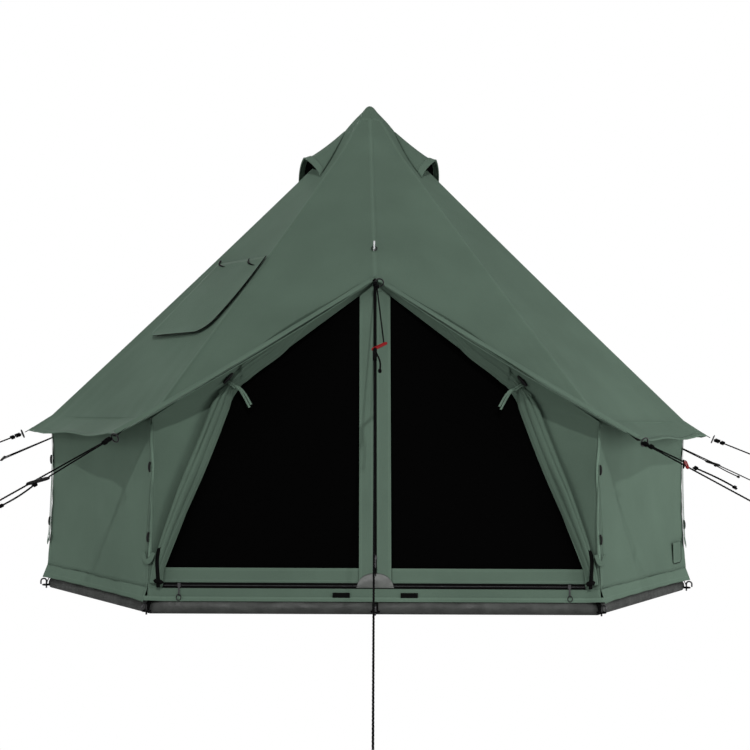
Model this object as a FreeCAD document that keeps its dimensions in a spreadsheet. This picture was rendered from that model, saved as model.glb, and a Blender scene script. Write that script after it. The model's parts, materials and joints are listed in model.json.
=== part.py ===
"""Bell tent: a ten-sided canvas teepee with one centre pole, a door A-frame and ten guy ropes.

Frame: +Z up, the door faces -Y, the origin is on the ground under the centre pole, millimetres.
Azimuth is counted from the door (0) towards +X (right).  Every canvas panel is a flat plate;
each sits on a local frame whose x runs along the panel, y climbs it and z leaves the tent.
"""
import FreeCAD, Part
import Sketcher
import os
import re

from math import atan, atan2, cos, degrees, pi, radians, sin, sqrt
from FreeCAD import Placement, Rotation, Vector

os.makedirs("parts", exist_ok=True)
doc = FreeCAD.newDocument("BellTent")

# ---------------------------------------------------------------- driving dimensions

DIMENSIONS = [
    ("side_count", 10, "number of sides"),
    ("half_gore", 18, "half the angle of one side, degrees"),
    ("wall_radius", 1500, "axis to a wall corner"),
    ("canvas", 2, "canvas plate thickness"),
    ("gap", 1, "clearance between neighbouring pieces"),
    ("apex_height", 2256, "height where the roof seams would meet"),
    ("roof_fall", 0.9893, "height lost per unit of radius along a roof seam"),
    ("roof_top_radius", 145, "upper end of the roof gores"),
    ("cap_overlap", 8, "how far the apex cap reaches past the roof's upper edge"),
    ("cap_clearance", 10, "rim of the apex cap above the roof seams"),
    ("cap_rise", 41, "top of the apex cap above the point where the roof seams would meet"),
    ("cap_waist_radius", 141, "apex cap just above its rim"),
    ("cap_waist_drop", 149, "depth of that waist below the cap's top"),
    ("cap_middle_radius", 75, "apex cap half way up"),
    ("cap_middle_drop", 73, "depth of that point below the cap's top"),
    ("cap_bend_radius", 27, "where the apex cap rounds over"),
    ("cap_bend_drop", 12, "depth of that point below the cap's top"),
    ("eave_tip_radius", 1606, "corner of the eave"),
    ("front_tip_radius", 1690, "corner of the eave beside the door"),
    ("eave_tip_height", 700, "height of the eave corners"),
    ("door_peak_radius", 918, "peak of the roof hem over the door"),
    ("door_head_radius", 878, "where the door plane meets the roof seam"),
    ("floor", 3, "groundsheet thickness"),
    ("rim_height", 49, "groundsheet rim height"),
    ("hem_base", 50, "bottom of the canvas"),
    ("hem_top", 105, "top of the wall hem"),
    ("sill_top", 99, "top of the door sill"),
    ("zip_top", 120, "top of the sill zip tape"),
    ("mesh_shoulder_width", 545, "half width of the door opening at its shoulder"),
    ("mesh_shoulder_height", 905, "height of the opening's shoulder"),
    ("shoulder_flare", 30, "how far the opening's side has spread just under its shoulder"),
    ("shoulder_drop", 55, "depth of that spread"),
    ("mesh_head_width", 60, "half width of the opening at its head"),
    ("mesh_inset", 6, "clearance between a mesh panel and the opening"),
    ("panel_inset", 4, "clearance between the front panels and the roof"),
    ("mesh_foot_width", 838, "half width of the door opening at its foot"),
    ("mesh_head_height", 1290, "top of the mesh panels"),
    ("mesh_sheet", 1.5, "mosquito mesh thickness"),
    ("strip_head_height", 1225, "top of the zip borders, where each one swings"),
    ("strip_width", 64, "border strip on each side of the centre zip"),
    ("slider_width", 12, "zip slider"),
    ("slider_length", 16, "zip slider, along its zip"),
    ("slider_height", 5, "zip slider thickness"),
    ("slider_lift", 4, "zip slider above the door plane"),
    ("tab_width", 6, "zip pull tab"),
    ("tab_length", 34, "zip pull tab length"),
    ("mesh_slider_height", 220, "centre zip slider, height above the ground"),
    ("sill_slider_x", 770, "sill zip slider, sideways"),
    ("sill_slider_height", 110, "sill zip slider, height above the ground"),
    ("fastener_half_width", 38, "half of a hook-and-loop patch"),
    ("fastener_base", 14, "bottom of a hook-and-loop patch, up the sill"),
    ("fastener_top", 34, "top of a hook-and-loop patch, up the sill"),
    ("patch_lift", 4.5, "threshold patch above the door plane"),
    ("pole_radius", 16, "centre pole tube"),
    ("pole_wall", 1.5, "pole tube wall"),
    ("pole_foot_height", 9, "bottom of the centre pole tube"),
    ("pole_section", 752, "visible length of one pole section"),
    ("section_gap", 0.2, "clearance between pole sections"),
    ("cup_wall", 2, "wall of the cups on the pole's ends"),
    ("cup_depth", 32, "depth of those cups"),
    ("foot_disc_radius", 35, "disc under the centre pole"),
    ("cap_brim", 9, "brim of the pole cap"),
    ("cap_thickness", 15, "pole cap above the tube"),
    ("spigot_length", 60, "reduced end that enters the next section"),
    ("spigot_slack", 0.3, "radial clearance of a spigot"),
    ("spigot_shoulder", 4, "length of the step inside a reduced end"),
    ("frame_radius", 11, "door frame tube"),
    ("frame_section", 800, "visible length of one door frame section"),
    ("frame_foot_x", 800, "door frame foot, sideways"),
    ("frame_foot_y", 1180, "door frame foot, forwards"),
    ("frame_foot_height", 30, "lower end of a door frame leg"),
    ("pin_radius", 4, "pin that pierces the roof seam"),
    ("pin_seam_radius", 773, "where the pin pierces the seam"),
    ("pin_depth", 40, "door frame knuckle below the seam"),
    ("pin_length", 80, "pin length above the knuckle"),
    ("knuckle_radius", 18, "ball of the door frame knuckle"),
    ("socket_wall", 3, "wall of the knuckle's sockets and the leg feet"),
    ("socket_depth", 110, "length of a knuckle socket beyond its ball"),
    ("leg_cup_depth", 26, "depth of a leg foot's cup"),
    ("leg_foot_depth", 14, "leg foot below its tube"),
    ("bore_reach", 200, "length of the cut that hollows a socket"),
    ("grommet_radius", 12, "grommet round the pin"),
    ("grommet_wire", 2.2, "grommet thickness"),
    ("grommet_lift", 8, "grommet above the seam line"),
    ("hood_top_radius", 172, "upper end of a vent hood"),
    ("hood_rim_radius", 307, "mouth of a vent hood"),
    ("hood_half_width", 170, "half width of a vent mouth"),
    ("hood_rise", 66, "height of a vent mouth above the roof"),
    ("hood_clearance", 9, "vent hood above the roof seam line"),
    ("vent_mesh_inset", 12, "vent mesh behind its hood's rim"),
    ("vent_mesh_clearance", 6, "vent mesh above the roof seam line"),
    ("vent_mesh_scale", 0.9, "vent mesh compared with its hood's mouth"),
    ("stove_top_radius", 755, "upper edge of the stove flap, from the axis"),
    ("stove_base_radius", 1088, "lower edge of the stove flap"),
    ("stove_top_front", 245, "stove flap's upper corner towards the door"),
    ("stove_top_back", 150, "stove flap's upper corner away from the door"),
    ("stove_base_front", 290, "stove flap's lower corner towards the door"),
    ("stove_base_back", 185, "stove flap's lower corner away from the door"),
    ("stove_pad_inset", 40, "stove pad inside its flap's outline"),
    ("tie_strap_width", 16, "wall tie strap"),
    ("tie_strap_length", 340, "wall tie strap length"),
    ("tie_strap_base", 200, "bottom of a wall tie strap"),
    ("tie_inset", 22, "wall tie strap from its corner"),
    ("toggle_height", 560, "wall toggle"),
    ("toggle_radius", 5, "wall toggle"),
    ("toggle_length", 40, "wall toggle length"),
    ("toggle_lift", 6, "wall toggle above its strap's plane"),
    ("bundle_radius", 26, "gathered door canvas above its tie"),
    ("bundle_foot_radius", 34, "gathered door canvas below its tie"),
    ("bundle_clearance", 60, "gathered canvas above the door plane"),
    ("bundle_head_x", 70, "upper end of the gathered canvas, sideways"),
    ("bundle_head_height", 1240, "upper end of the gathered canvas"),
    ("bundle_foot_x", 814, "lower end of the gathered canvas, sideways"),
    ("bundle_foot_height", 150, "lower end of the gathered canvas"),
    ("tie_x", 552, "door tie, sideways"),
    ("tie_height", 888, "door tie height"),
    ("tie_wire", 4, "door tie thickness"),
    ("tie_slack", 6, "door tie outside the gathered canvas"),
    ("tie_offset", 60, "door tie below the bend of the gathered canvas"),
    ("rope_radius", 4, "guy rope"),
    ("strand_offset", 34, "distance between the two strands above a runner"),
    ("guy_reach", 1750, "eave corner to stake, along the ground"),
    ("front_guy_reach", 2480, "door peak to its stake, along the ground"),
    ("front_guy_heading", -2, "direction of the front guy from straight ahead, degrees"),
    ("rope_start", 34, "eave corner to the start of a rope"),
    ("rope_stop", 26, "end of a rope before its stake"),
    ("eave_loop_lift", 8, "eave loop above the start of its rope"),
    ("eave_loop_wire", 3, "eave loop thickness"),
    ("runner_drop", 430, "eave loop to runner, along the rope"),
    ("front_runner_drop", 620, "door peak loop to runner, along the rope"),
    ("short_runner_drop", 245, "front right eave loop to its runner, which is drawn up tight"),
    ("runner_sheet", 6, "runner thickness"),
    ("runner_half_depth", 8, "half depth of a runner"),
    ("runner_hole", 5.2, "runner hole radius"),
    ("runner_end", 11, "runner end beyond its outer holes"),
    ("knot_radius", 7, "knot under a runner"),
    ("stake_shaft", 230, "stake shaft length"),
    ("stake_offset", 26, "stake head beyond the end of its rope's line, and above the ground"),
    ("stake_lean", 20, "lean of a stake away from the tent, degrees"),
    ("peg_shaft", 190, "base peg shaft length"),
    ("peg_radius", 3.5, "peg wire"),
    ("hook_radius", 12, "bend of a peg's hook"),
    ("loop_radius", 16, "base loop"),
    ("loop_wire", 3, "base loop webbing"),
    ("loop_height", 14, "base loop above the ground"),
    ("cable_flap_size", 90, "cable port flap, square"),
    ("cable_flap_left", 306, "cable flap's near edge from the middle of its wall"),
    ("cable_flap_top", 229, "cable flap's hinge height"),
]

sheet = doc.addObject("Spreadsheet::Sheet", "Dims")
for row, (alias, number, note) in enumerate(DIMENSIONS, start=1):
    sheet.set(f"A{row}", note)
    sheet.set(f"B{row}", str(number))
    sheet.setAlias(f"B{row}", alias)
doc.recompute()

ALIASES = {alias for alias, _, _ in DIMENSIONS}
HALF_GORE = radians(float(sheet.get("half_gore")))


def dim(alias):
    """Value of one cell of the sheet."""
    return float(sheet.get(alias))


def bound(formula):
    """Formula text with each dimension's name pointed at its cell."""
    return re.sub(r"[a-z_]+", lambda m: "Dims." + m[0] if m[0] in ALIASES else m[0], formula)


def bind(obj, **formulas):
    """Bind each named property of obj to a formula of the sheet's dimensions."""
    for prop, formula in formulas.items():
        obj.setExpression(prop, bound(formula))


# ---------------------------------------------------------------- formulas shared by the panels

ROOF_ANGLE = "atan(roof_fall / cos(half_gore))"
WALL_TOP = "(apex_height - roof_fall * wall_radius)"
GORE_RUN = f"cos(half_gore) / cos({ROOF_ANGLE})"
FRONT_APOTHEM = "wall_radius * cos(2 * half_gore)"
DOOR_HEAD_HEIGHT = "(apex_height - roof_fall * door_head_radius)"
DOOR_ANGLE = f"atan(({DOOR_HEAD_HEIGHT} - hem_base) / ({FRONT_APOTHEM} - door_head_radius))"

roof_angle = degrees(atan(dim("roof_fall") / cos(HALF_GORE)))
wall_top = dim("apex_height") - dim("roof_fall") * dim("wall_radius")
front_apothem = dim("wall_radius") * cos(2 * HALF_GORE)
wall_apothem = dim("wall_radius") * cos(HALF_GORE)
door_head_height = dim("apex_height") - dim("roof_fall") * dim("door_head_radius")
door_angle = degrees(atan2(door_head_height - dim("hem_base"), front_apothem - dim("door_head_radius")))
gore_step = 2 * dim("half_gore")
side_corners = [gore_step * k for k in range(1, 5)]
side_panels = [gore_step * (k + 0.5) for k in range(1, 5)]


def up_door(height):
    """Formula for the distance up the door plane at a height."""
    return f"(({height}) - hem_base) / sin({DOOR_ANGLE})"


def polar(azimuth, radius, height):
    """Point at an azimuth from the door, a radius and a height."""
    turn = radians(azimuth)
    return Vector(radius * sin(turn), -radius * cos(turn), height)


def panel_frame(azimuth, radius, height, slope, lift=0.0):
    """Frame on a panel: x along it, y up it, z out of the tent, lifted off its face."""
    lean = Placement(Vector(0, -radius, height), Rotation(Vector(1, 0, 0), slope))
    turn = Placement(Vector(0, 0, 0), Rotation(Vector(0, 0, 1), azimuth))
    return turn * lean * Placement(Vector(0, 0, lift), Rotation())


def roof_frame(azimuth, lift=0.0):
    """Frame on a roof gore, at the middle of its lower edge."""
    return panel_frame(azimuth, wall_apothem, wall_top, roof_angle, lift)


def wall_frame(azimuth, lift=0.0):
    """Frame on a wall panel, at ground level under its middle."""
    return panel_frame(azimuth, wall_apothem, 0, 90, lift)


def door_frame(lift=0.0):
    """Frame on the leaning door plane, at the middle of its lower edge."""
    return panel_frame(0, front_apothem, dim("hem_base"), door_angle, lift)


def door_point(x, height, lift=0.0):
    """Point on the door plane, or lifted off it."""
    climb = (height - dim("hem_base")) / sin(radians(door_angle))
    return door_frame(lift).multVec(Vector(x, climb, 0))


def roof_height(point):
    """Height of the roof above a point, on the gore that covers it."""
    azimuth = degrees(atan2(point.x, -point.y)) % 360
    centre = (int(azimuth / gore_step) + 0.5) * gore_step
    reach = sqrt(point.x ** 2 + point.y ** 2) * cos(radians(azimuth - centre))
    return dim("apex_height") - dim("roof_fall") * reach / cos(HALF_GORE)


# ---------------------------------------------------------------- ways of making a piece

def sketch_polygon(sketch, corners):
    """Closed polygon whose corner coordinates are bound to formulas."""
    count = len(corners)
    first = sketch.GeometryCount
    rough_size = 50
    rough = [Vector(cos(2 * pi * k / count), sin(2 * pi * k / count), 0) * rough_size for k in range(count)]
    for k in range(count):
        sketch.addGeometry(Part.LineSegment(rough[k], rough[(k + 1) % count]), False)
    for k in range(count):
        following = first + (k + 1) % count
        sketch.addConstraint(Sketcher.Constraint("Coincident", first + k, 2, following, 1))
    for k, (across, up) in enumerate(corners):
        for kind, formula, start in (("DistanceX", across, rough[k].x), ("DistanceY", up, rough[k].y)):
            index = sketch.addConstraint(Sketcher.Constraint(kind, -1, 1, first + k, 1, start))
            sketch.setExpression(f"Constraints[{index}]", bound(formula))


def sketch_circle(sketch, across, up, radius):
    """Circle whose centre and radius are bound to formulas."""
    index = sketch.addGeometry(Part.Circle(Vector(1, 1, 0), Vector(0, 0, 1), 5), False)
    for kind, formula in (("DistanceX", across), ("DistanceY", up)):
        rule = sketch.addConstraint(Sketcher.Constraint(kind, -1, 1, index, 3, 1.0))
        sketch.setExpression(f"Constraints[{rule}]", bound(formula))
    rule = sketch.addConstraint(Sketcher.Constraint("Radius", index, 5.0))
    sketch.setExpression(f"Constraints[{rule}]", bound(radius))


def new_sketch(body, role, name):
    """Sketch on one of the body's own origin planes."""
    sketch = body.newObject("Sketcher::SketchObject", name)
    plane = next(item for item in body.Origin.OriginFeatures if item.Role == role)
    sketch.AttachmentSupport = [(plane, "")]
    sketch.MapMode = "FlatFace"
    return sketch


def padded(body, name, outlines, thickness, circles=()):
    """Pad of polygons, with circles for its holes, from the body's XY plane."""
    sketch = new_sketch(body, "XY_Plane", name + "_outline")
    for corners in outlines:
        sketch_polygon(sketch, corners)
    for across, up, radius in circles:
        sketch_circle(sketch, across, up, radius)
    pad = body.newObject("PartDesign::Pad", name + "_pad")
    pad.Profile = sketch
    bind(pad, Length=thickness)
    return pad


def plate(name, corners, thickness, placement, circles=()):
    """Flat plate: a body with one padded outline."""
    body = doc.addObject("PartDesign::Body", name)
    padded(body, name, [corners], thickness, circles)
    body.Placement = placement
    return body


def turned(name, profile, placement=Placement()):
    """Turned piece: a body with one profile of radius and height, revolved about its z axis."""
    body = doc.addObject("PartDesign::Body", name)
    sketch = new_sketch(body, "XZ_Plane", name + "_profile")
    sketch_polygon(sketch, profile)
    revolution = body.newObject("PartDesign::Revolution", name + "_revolution")
    revolution.Profile = sketch
    revolution.ReferenceAxis = (sketch, ["V_Axis"])
    revolution.Angle = 360
    body.Placement = placement
    return body


def along(start, end, offset=0.0):
    """Frame at start, or offset from it, whose z axis points at end."""
    direction = (end - start).normalize()
    return Placement(start + direction * offset, Rotation(Vector(0, 0, 1), direction))


def rod(name, radius, length, placement):
    """Round bar along its local z axis."""
    bar = doc.addObject("Part::Cylinder", name)
    bind(bar, Radius=radius, Height=length)
    bar.Placement = placement
    return bar


def ball(name, radius, centre):
    """Sphere at a point."""
    sphere = doc.addObject("Part::Sphere", name)
    bind(sphere, Radius=radius)
    sphere.Placement = Placement(centre, Rotation())
    return sphere


def ring(name, radius, wire, placement):
    """Round ring in its local xy plane."""
    torus = doc.addObject("Part::Torus", name)
    bind(torus, Radius1=radius, Radius2=wire)
    torus.Placement = placement
    return torus


def block(name, width, depth, height, placement):
    """Box centred on its local origin in x and y, rising along z."""
    box = doc.addObject("Part::Box", name)
    bind(box, Length=width, Width=depth, Height=height)
    doc.recompute([box])
    shift = Vector(-box.Length.Value / 2, -box.Width.Value / 2, 0)
    box.Placement = placement * Placement(shift, Rotation())
    return box


def fused(name, pieces):
    """One solid made of overlapping pieces."""
    fusion = doc.addObject("Part::MultiFuse", name)
    fusion.Shapes = pieces
    return fusion


def facets(name, polygons, thickness):
    """Flat plates on polygons of points, each thickened towards the side its corners turn about."""
    solids = []
    for corners in polygons:
        normal = (corners[1] - corners[0]).cross(corners[2] - corners[0]).normalize()
        face = Part.Face(Part.makePolygon(corners + corners[:1]))
        solids.append(face.extrude(normal * thickness))
    feature = doc.addObject("Part::Feature", name)
    feature.Shape = Part.makeCompound(solids)
    return feature


nodes = []


def node(label, pieces):
    """Register a sub-part: one object, or a group of separate solids."""
    if len(pieces) == 1:
        piece = pieces[0]
    else:
        piece = doc.addObject("Part::Compound", label + "_group")
        piece.Links = pieces
    piece.Label = label
    nodes.append(piece)
    return piece


# ---------------------------------------------------------------- groundsheet and poles

def floor_outline(inset):
    """Corner formulas of the tent's outline, drawn in by an inset; the door side has no middle corner."""
    radius = f"(wall_radius - {inset} / cos(half_gore))"
    return [(f"{radius} * sin(2 * half_gore * {k})", f"-{radius} * cos(2 * half_gore * {k})")
            for k in range(1, int(dim("side_count")))]


def make_groundsheet():
    body = doc.addObject("PartDesign::Body", "groundsheet_body")
    padded(body, "tray_floor", [floor_outline("0")], "floor")
    padded(body, "tray_rim", [floor_outline("0"), floor_outline("floor")], "rim_height")
    node("groundsheet", [body])


def tube_profile(radius, length, spigot):
    """Radius and height formulas of a tube, with or without a reduced upper end."""
    bore = f"({radius} - pole_wall)"
    if not spigot:
        return [(bore, "0"), (radius, "0"), (radius, length), (bore, length)]
    neck = f"({bore} - spigot_slack)"
    throat = f"({neck} - pole_wall)"
    tip = f"{length} + spigot_length"
    return [(bore, "0"), (radius, "0"), (radius, length), (neck, length), (neck, tip),
            (throat, tip), (throat, f"{length} - spigot_shoulder"), (bore, f"{length} - 2 * spigot_shoulder")]


def make_centre_pole():
    foot, section = dim("pole_foot_height"), dim("pole_section")
    cup = "(pole_radius + spigot_slack)"
    shell = "(pole_radius + cup_wall)"
    seat = "(pole_foot_height - spigot_slack)"
    underside = "(floor + spigot_slack)"
    rim = "(pole_foot_height + cup_depth)"
    node("centre_pole_foot", [turned("pole_foot", [
        ("0", underside), ("foot_disc_radius", underside), ("foot_disc_radius", "pole_foot_height"),
        (shell, "pole_foot_height + 2 * cup_wall"), (shell, rim), (cup, rim), (cup, seat), ("0", seat)])])
    for level, name in enumerate(("lower", "middle", "upper")):
        profile = tube_profile("pole_radius", "pole_section", spigot=name != "upper")
        place = Placement(Vector(0, 0, foot + level * (section + dim("section_gap"))), Rotation())
        node(f"centre_pole_{name}", [turned(f"pole_{name}", profile, place)])
    top = "(pole_foot_height + 3 * pole_section + gap)"
    node("centre_pole_cap", [turned("pole_cap", [
        (cup, f"{top} - cup_depth"), (shell, f"{top} - cup_depth"),
        (f"{shell} + cap_brim", f"{top} + 2 * cup_wall"),
        (f"{shell} + cap_brim / 2", f"{top} + cap_thickness - cup_wall"), ("0", f"{top} + cap_thickness"),
        ("0", top), (cup, top)])])


def pin_seam_point():
    """Where the pin pierces the roof seam over the door."""
    radius = dim("pin_seam_radius")
    return Vector(0, -radius, dim("apex_height") - dim("roof_fall") * radius)


def make_door_a_frame():
    """Two jointed legs that meet in a knuckle, whose pin pierces the roof seam over the door."""
    seam = pin_seam_point()
    knuckle = seam - Vector(0, 0, dim("pin_depth"))
    bores = []
    sockets = [ball("knuckle_ball", "knuckle_radius", knuckle),
               rod("knuckle_pin", "pin_radius", "pin_length", Placement(knuckle, Rotation()))]
    feet = []
    shell, cup = "(frame_radius + socket_wall)", "(frame_radius + spigot_slack)"
    for side, sign in (("left", -1), ("right", 1)):
        foot = Vector(sign * dim("frame_foot_x"), -dim("frame_foot_y"), dim("frame_foot_height"))
        for level, name in enumerate(("lower", "upper")):
            profile = tube_profile("frame_radius", "frame_section", spigot=name == "lower")
            place = along(foot, knuckle, level * (dim("frame_section") + dim("section_gap")))
            node(f"door_frame_{side}_{name}", [turned(f"leg_{side}_{name}", profile, place)])
        feet.append(turned(f"leg_foot_{side}", [
            ("0", "-leg_foot_depth"), ("frame_radius", "-leg_foot_depth"), (shell, "-leg_foot_depth / 2"),
            (shell, "leg_cup_depth"), (cup, "leg_cup_depth"), (cup, "-spigot_slack"), ("0", "-spigot_slack")],
            along(foot, knuckle)))
        sockets.append(rod(f"socket_{side}", shell, "knuckle_radius + socket_depth", along(knuckle, foot)))
        leg_end = (knuckle - foot).Length - 2 * dim("frame_section") - dim("section_gap") - 0.5 * dim("gap")
        bores.append(rod(f"bore_{side}", cup, "bore_reach", along(knuckle, foot, leg_end)))
    node("door_frame_feet", feet)
    knuckle_cut = doc.addObject("Part::Cut", "knuckle_cut")
    knuckle_cut.Base = fused("knuckle_solid", sockets)
    knuckle_cut.Tool = fused("knuckle_bores", bores)
    node("door_frame_apex", [knuckle_cut])
    lean = Rotation(Vector(1, 0, 0), degrees(atan(dim("roof_fall"))))
    seat = Placement(seam + Vector(0, 0, dim("grommet_lift")), lean)
    node("roof_grommet", [ring("pin_grommet", "grommet_radius", "grommet_wire", seat)])


# ---------------------------------------------------------------- roof

def gore(name, azimuth, near_foot, far_foot):
    """Roof gore: its seams start at the given radii, the near one towards lower azimuths."""
    def on_seam(radius, side):
        return (f"{side} * {radius} * sin(half_gore)", f"(wall_radius - {radius}) * {GORE_RUN}")
    corners = [on_seam(near_foot, -1), on_seam(far_foot, 1),
               on_seam("roof_top_radius", 1), on_seam("roof_top_radius", -1)]
    return plate(name, corners, "canvas", roof_frame(azimuth))


def make_roof():
    half = dim("half_gore")
    gores = [gore(f"gore_{k}", half + gore_step * k, "wall_radius", "wall_radius") for k in range(1, 9)]
    hole = rod("pin_hole", "pin_radius + gap", "2 * pin_length",
               Placement(pin_seam_point() - Vector(0, 0, dim("pin_length")), Rotation()))
    for side, near, far in (("right", "door_peak_radius", "wall_radius"),
                            ("left", "wall_radius", "door_peak_radius")):
        azimuth = half if side == "right" else -half
        cut = doc.addObject("Part::Cut", f"gore_front_{side}_pierced")
        cut.Base = gore(f"gore_front_{side}", azimuth, near, far)
        cut.Tool = hole
        gores.append(cut)
    node("roof_canopy", gores)


def make_apex_cap():
    """Canvas cap over the top of the roof, steeper than the roof and rounded over the pole's end."""
    rim = "(roof_top_radius + cap_overlap)"
    base = f"(apex_height - roof_fall * {rim} + cap_clearance)"
    crown = "(apex_height + cap_rise)"
    outer = [(f"cap_{part}_radius", f"{crown} - cap_{part}_drop") for part in ("waist", "middle", "bend")]
    inner = [(f"{radius} - gap", f"{height} - canvas") for radius, height in outer[::-1]]
    node("apex_cap", [turned("cap_cone", [(rim, base), (f"{rim} + canvas", base), *outer, ("0", crown),
                                          ("0", f"{crown} - canvas"), *inner])])


def make_eaves():
    """Overhang below the roof seam; beside the door it is drawn out to the forward corners."""
    fall = f"({WALL_TOP} - eave_tip_height)"
    run = "((eave_tip_radius - wall_radius) * cos(half_gore))"
    length = f"sqrt({fall}^2 + {run}^2)"
    slope = degrees(atan2(wall_top - dim("eave_tip_height"),
                          (dim("eave_tip_radius") - dim("wall_radius")) * cos(HALF_GORE)))
    corners = [("-eave_tip_radius * sin(half_gore)", f"-{length}"),
               ("eave_tip_radius * sin(half_gore)", f"-{length}"),
               ("wall_radius * sin(half_gore)", "-gap"), ("-wall_radius * sin(half_gore)", "-gap")]
    panels = []
    for k in range(2, int(dim("side_count")) - 2):
        frame = panel_frame(dim("half_gore") + gore_step * k, wall_apothem, wall_top, slope)
        panels.append(plate(f"eave_{k}", corners, "canvas", frame))
    near = dim("wall_radius") + dim("gap") * 1.5
    drop = wall_top - dim("gap") * 1.5
    twisted = []
    for sign in (1, -1):
        first, second = sign * gore_step, sign * 2 * gore_step
        front_root, side_root = polar(first, near, drop), polar(second, near, drop)
        front_tip = polar(first, dim("front_tip_radius"), dim("eave_tip_height"))
        side_tip = polar(second, dim("eave_tip_radius"), dim("eave_tip_height"))
        for triangle in ([front_root, front_tip, side_tip], [front_root, side_tip, side_root]):
            twisted.append(triangle[::sign])
    panels.append(facets("eave_front_corners", twisted, dim("canvas")))
    node("eave_flap", panels)


ARCH_STEPS = (-1, -0.62, 0, 0.62, 1)
VENT_SEAMS = (-2 * gore_step, 2 * gore_step, 5 * gore_step)


def vent_mouth(azimuth, radius, scale, clear):
    """Arch points across a roof seam, from one foot to the other, in an upright plane."""
    middle = polar(azimuth, radius, 0)
    across = polar(azimuth + 90, 1, 0)
    points = []
    for step in ARCH_STEPS:
        point = middle + across * (step * scale * dim("hood_half_width"))
        point.z = roof_height(point) + clear + scale * dim("hood_rise") * sqrt(1 - step ** 2)
        points.append(point)
    return points


def make_vents():
    """Arched hoods astride three roof seams, with mesh across their mouths."""
    hoods, meshes = [], []
    inner_radius = dim("hood_rim_radius") - dim("vent_mesh_inset")
    for number, azimuth in enumerate(VENT_SEAMS, start=1):
        top = polar(azimuth, dim("hood_top_radius"), 0)
        top.z = roof_height(top) + dim("hood_clearance")
        rim = vent_mouth(azimuth, dim("hood_rim_radius"), 1, dim("hood_clearance"))
        hoods.append(facets(f"hood_{number}", [[top, a, b] for a, b in zip(rim, rim[1:])], dim("canvas")))
        screen = vent_mouth(azimuth, inner_radius, dim("vent_mesh_scale"), dim("vent_mesh_clearance"))
        sill = polar(azimuth, inner_radius, 0)
        sill.z = roof_height(sill) + dim("vent_mesh_clearance")
        screen.append(sill)
        meshes.append(facets(f"vent_mesh_{number}", [screen], dim("mesh_sheet")))
    node("vent_hoods", hoods)
    node("vent_meshes", meshes)


def make_stove_port():
    """Heatproof pad on the left roof, under a flap that hinges along its upper edge."""
    azimuth = -side_panels[0]
    climb = "(wall_radius * cos(half_gore) - {0}) / cos(" + ROOF_ANGLE + ")"
    top, base = climb.format("stove_top_radius"), climb.format("stove_base_radius")
    lift = dim("canvas") + dim("gap")
    edge = "stove_pad_inset"
    flap = [("-stove_base_back", base), ("stove_base_front", base),
            ("stove_top_front", top), ("-stove_top_back", top)]
    low, high = f"{base} + {edge}", f"{top} - {edge}"
    pad = [(f"-stove_base_back + {edge}", low), (f"stove_base_front - {edge}", low),
           (f"stove_top_front - {edge}", high), (f"-stove_top_back + {edge}", high)]
    node("stove_pad", [plate("stove_pad_plate", pad, "canvas", roof_frame(azimuth, lift))])
    node("stove_flap", [plate("stove_flap_plate", flap, "canvas", roof_frame(azimuth, 2 * lift))])


# ---------------------------------------------------------------- walls

def make_walls():
    """Four wall panels on each side, their hems, and the ties for rolling them up."""
    half_side = "wall_radius * sin(half_gore)"
    on_wall = dim("canvas") + dim("gap")
    for side, sign in (("left", -1), ("right", 1)):
        azimuths = [sign * azimuth for azimuth in side_panels]
        for label, low, high in (("wall", "hem_top + gap", f"{WALL_TOP} - 3 * gap"),
                                 ("wall_hem", "hem_base", "hem_top")):
            corners = [(f"-{half_side}", low), (half_side, low), (half_side, high), (f"-{half_side}", high)]
            panels = [plate(f"{label}_{side}_{k}", corners, "canvas", wall_frame(azimuth))
                      for k, azimuth in enumerate(azimuths)]
            node(f"{label}_{side}", panels)
        ties = []
        for k, azimuth in enumerate(azimuths):
            face = wall_frame(azimuth, on_wall)
            x = -sign * (dim("wall_radius") * sin(HALF_GORE) - dim("tie_inset"))
            middle = Vector(x, dim("tie_strap_base") + dim("tie_strap_length") / 2, 0)
            ties.append(block(f"tie_strap_{side}_{k}", "tie_strap_width", "tie_strap_length", "canvas",
                              face * Placement(middle, Rotation())))
            toggle = Placement(Vector(x, dim("toggle_height"), dim("toggle_lift")),
                               Rotation(Vector(1, 0, 0), -90))
            ties.append(rod(f"toggle_{side}_{k}", "toggle_radius", "toggle_length", face * toggle))
        node(f"wall_ties_{side}", ties)
    size, left = "cable_flap_size", "cable_flap_left"
    corners = [(left, f"cable_flap_top - {size}"), (f"{left} + {size}", f"cable_flap_top - {size}"),
               (f"{left} + {size}", "cable_flap_top"), (left, "cable_flap_top")]
    node("cable_flap", [plate("cable_flap_plate", corners, "canvas", wall_frame(side_panels[0], on_wall))])


# ---------------------------------------------------------------- door

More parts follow.
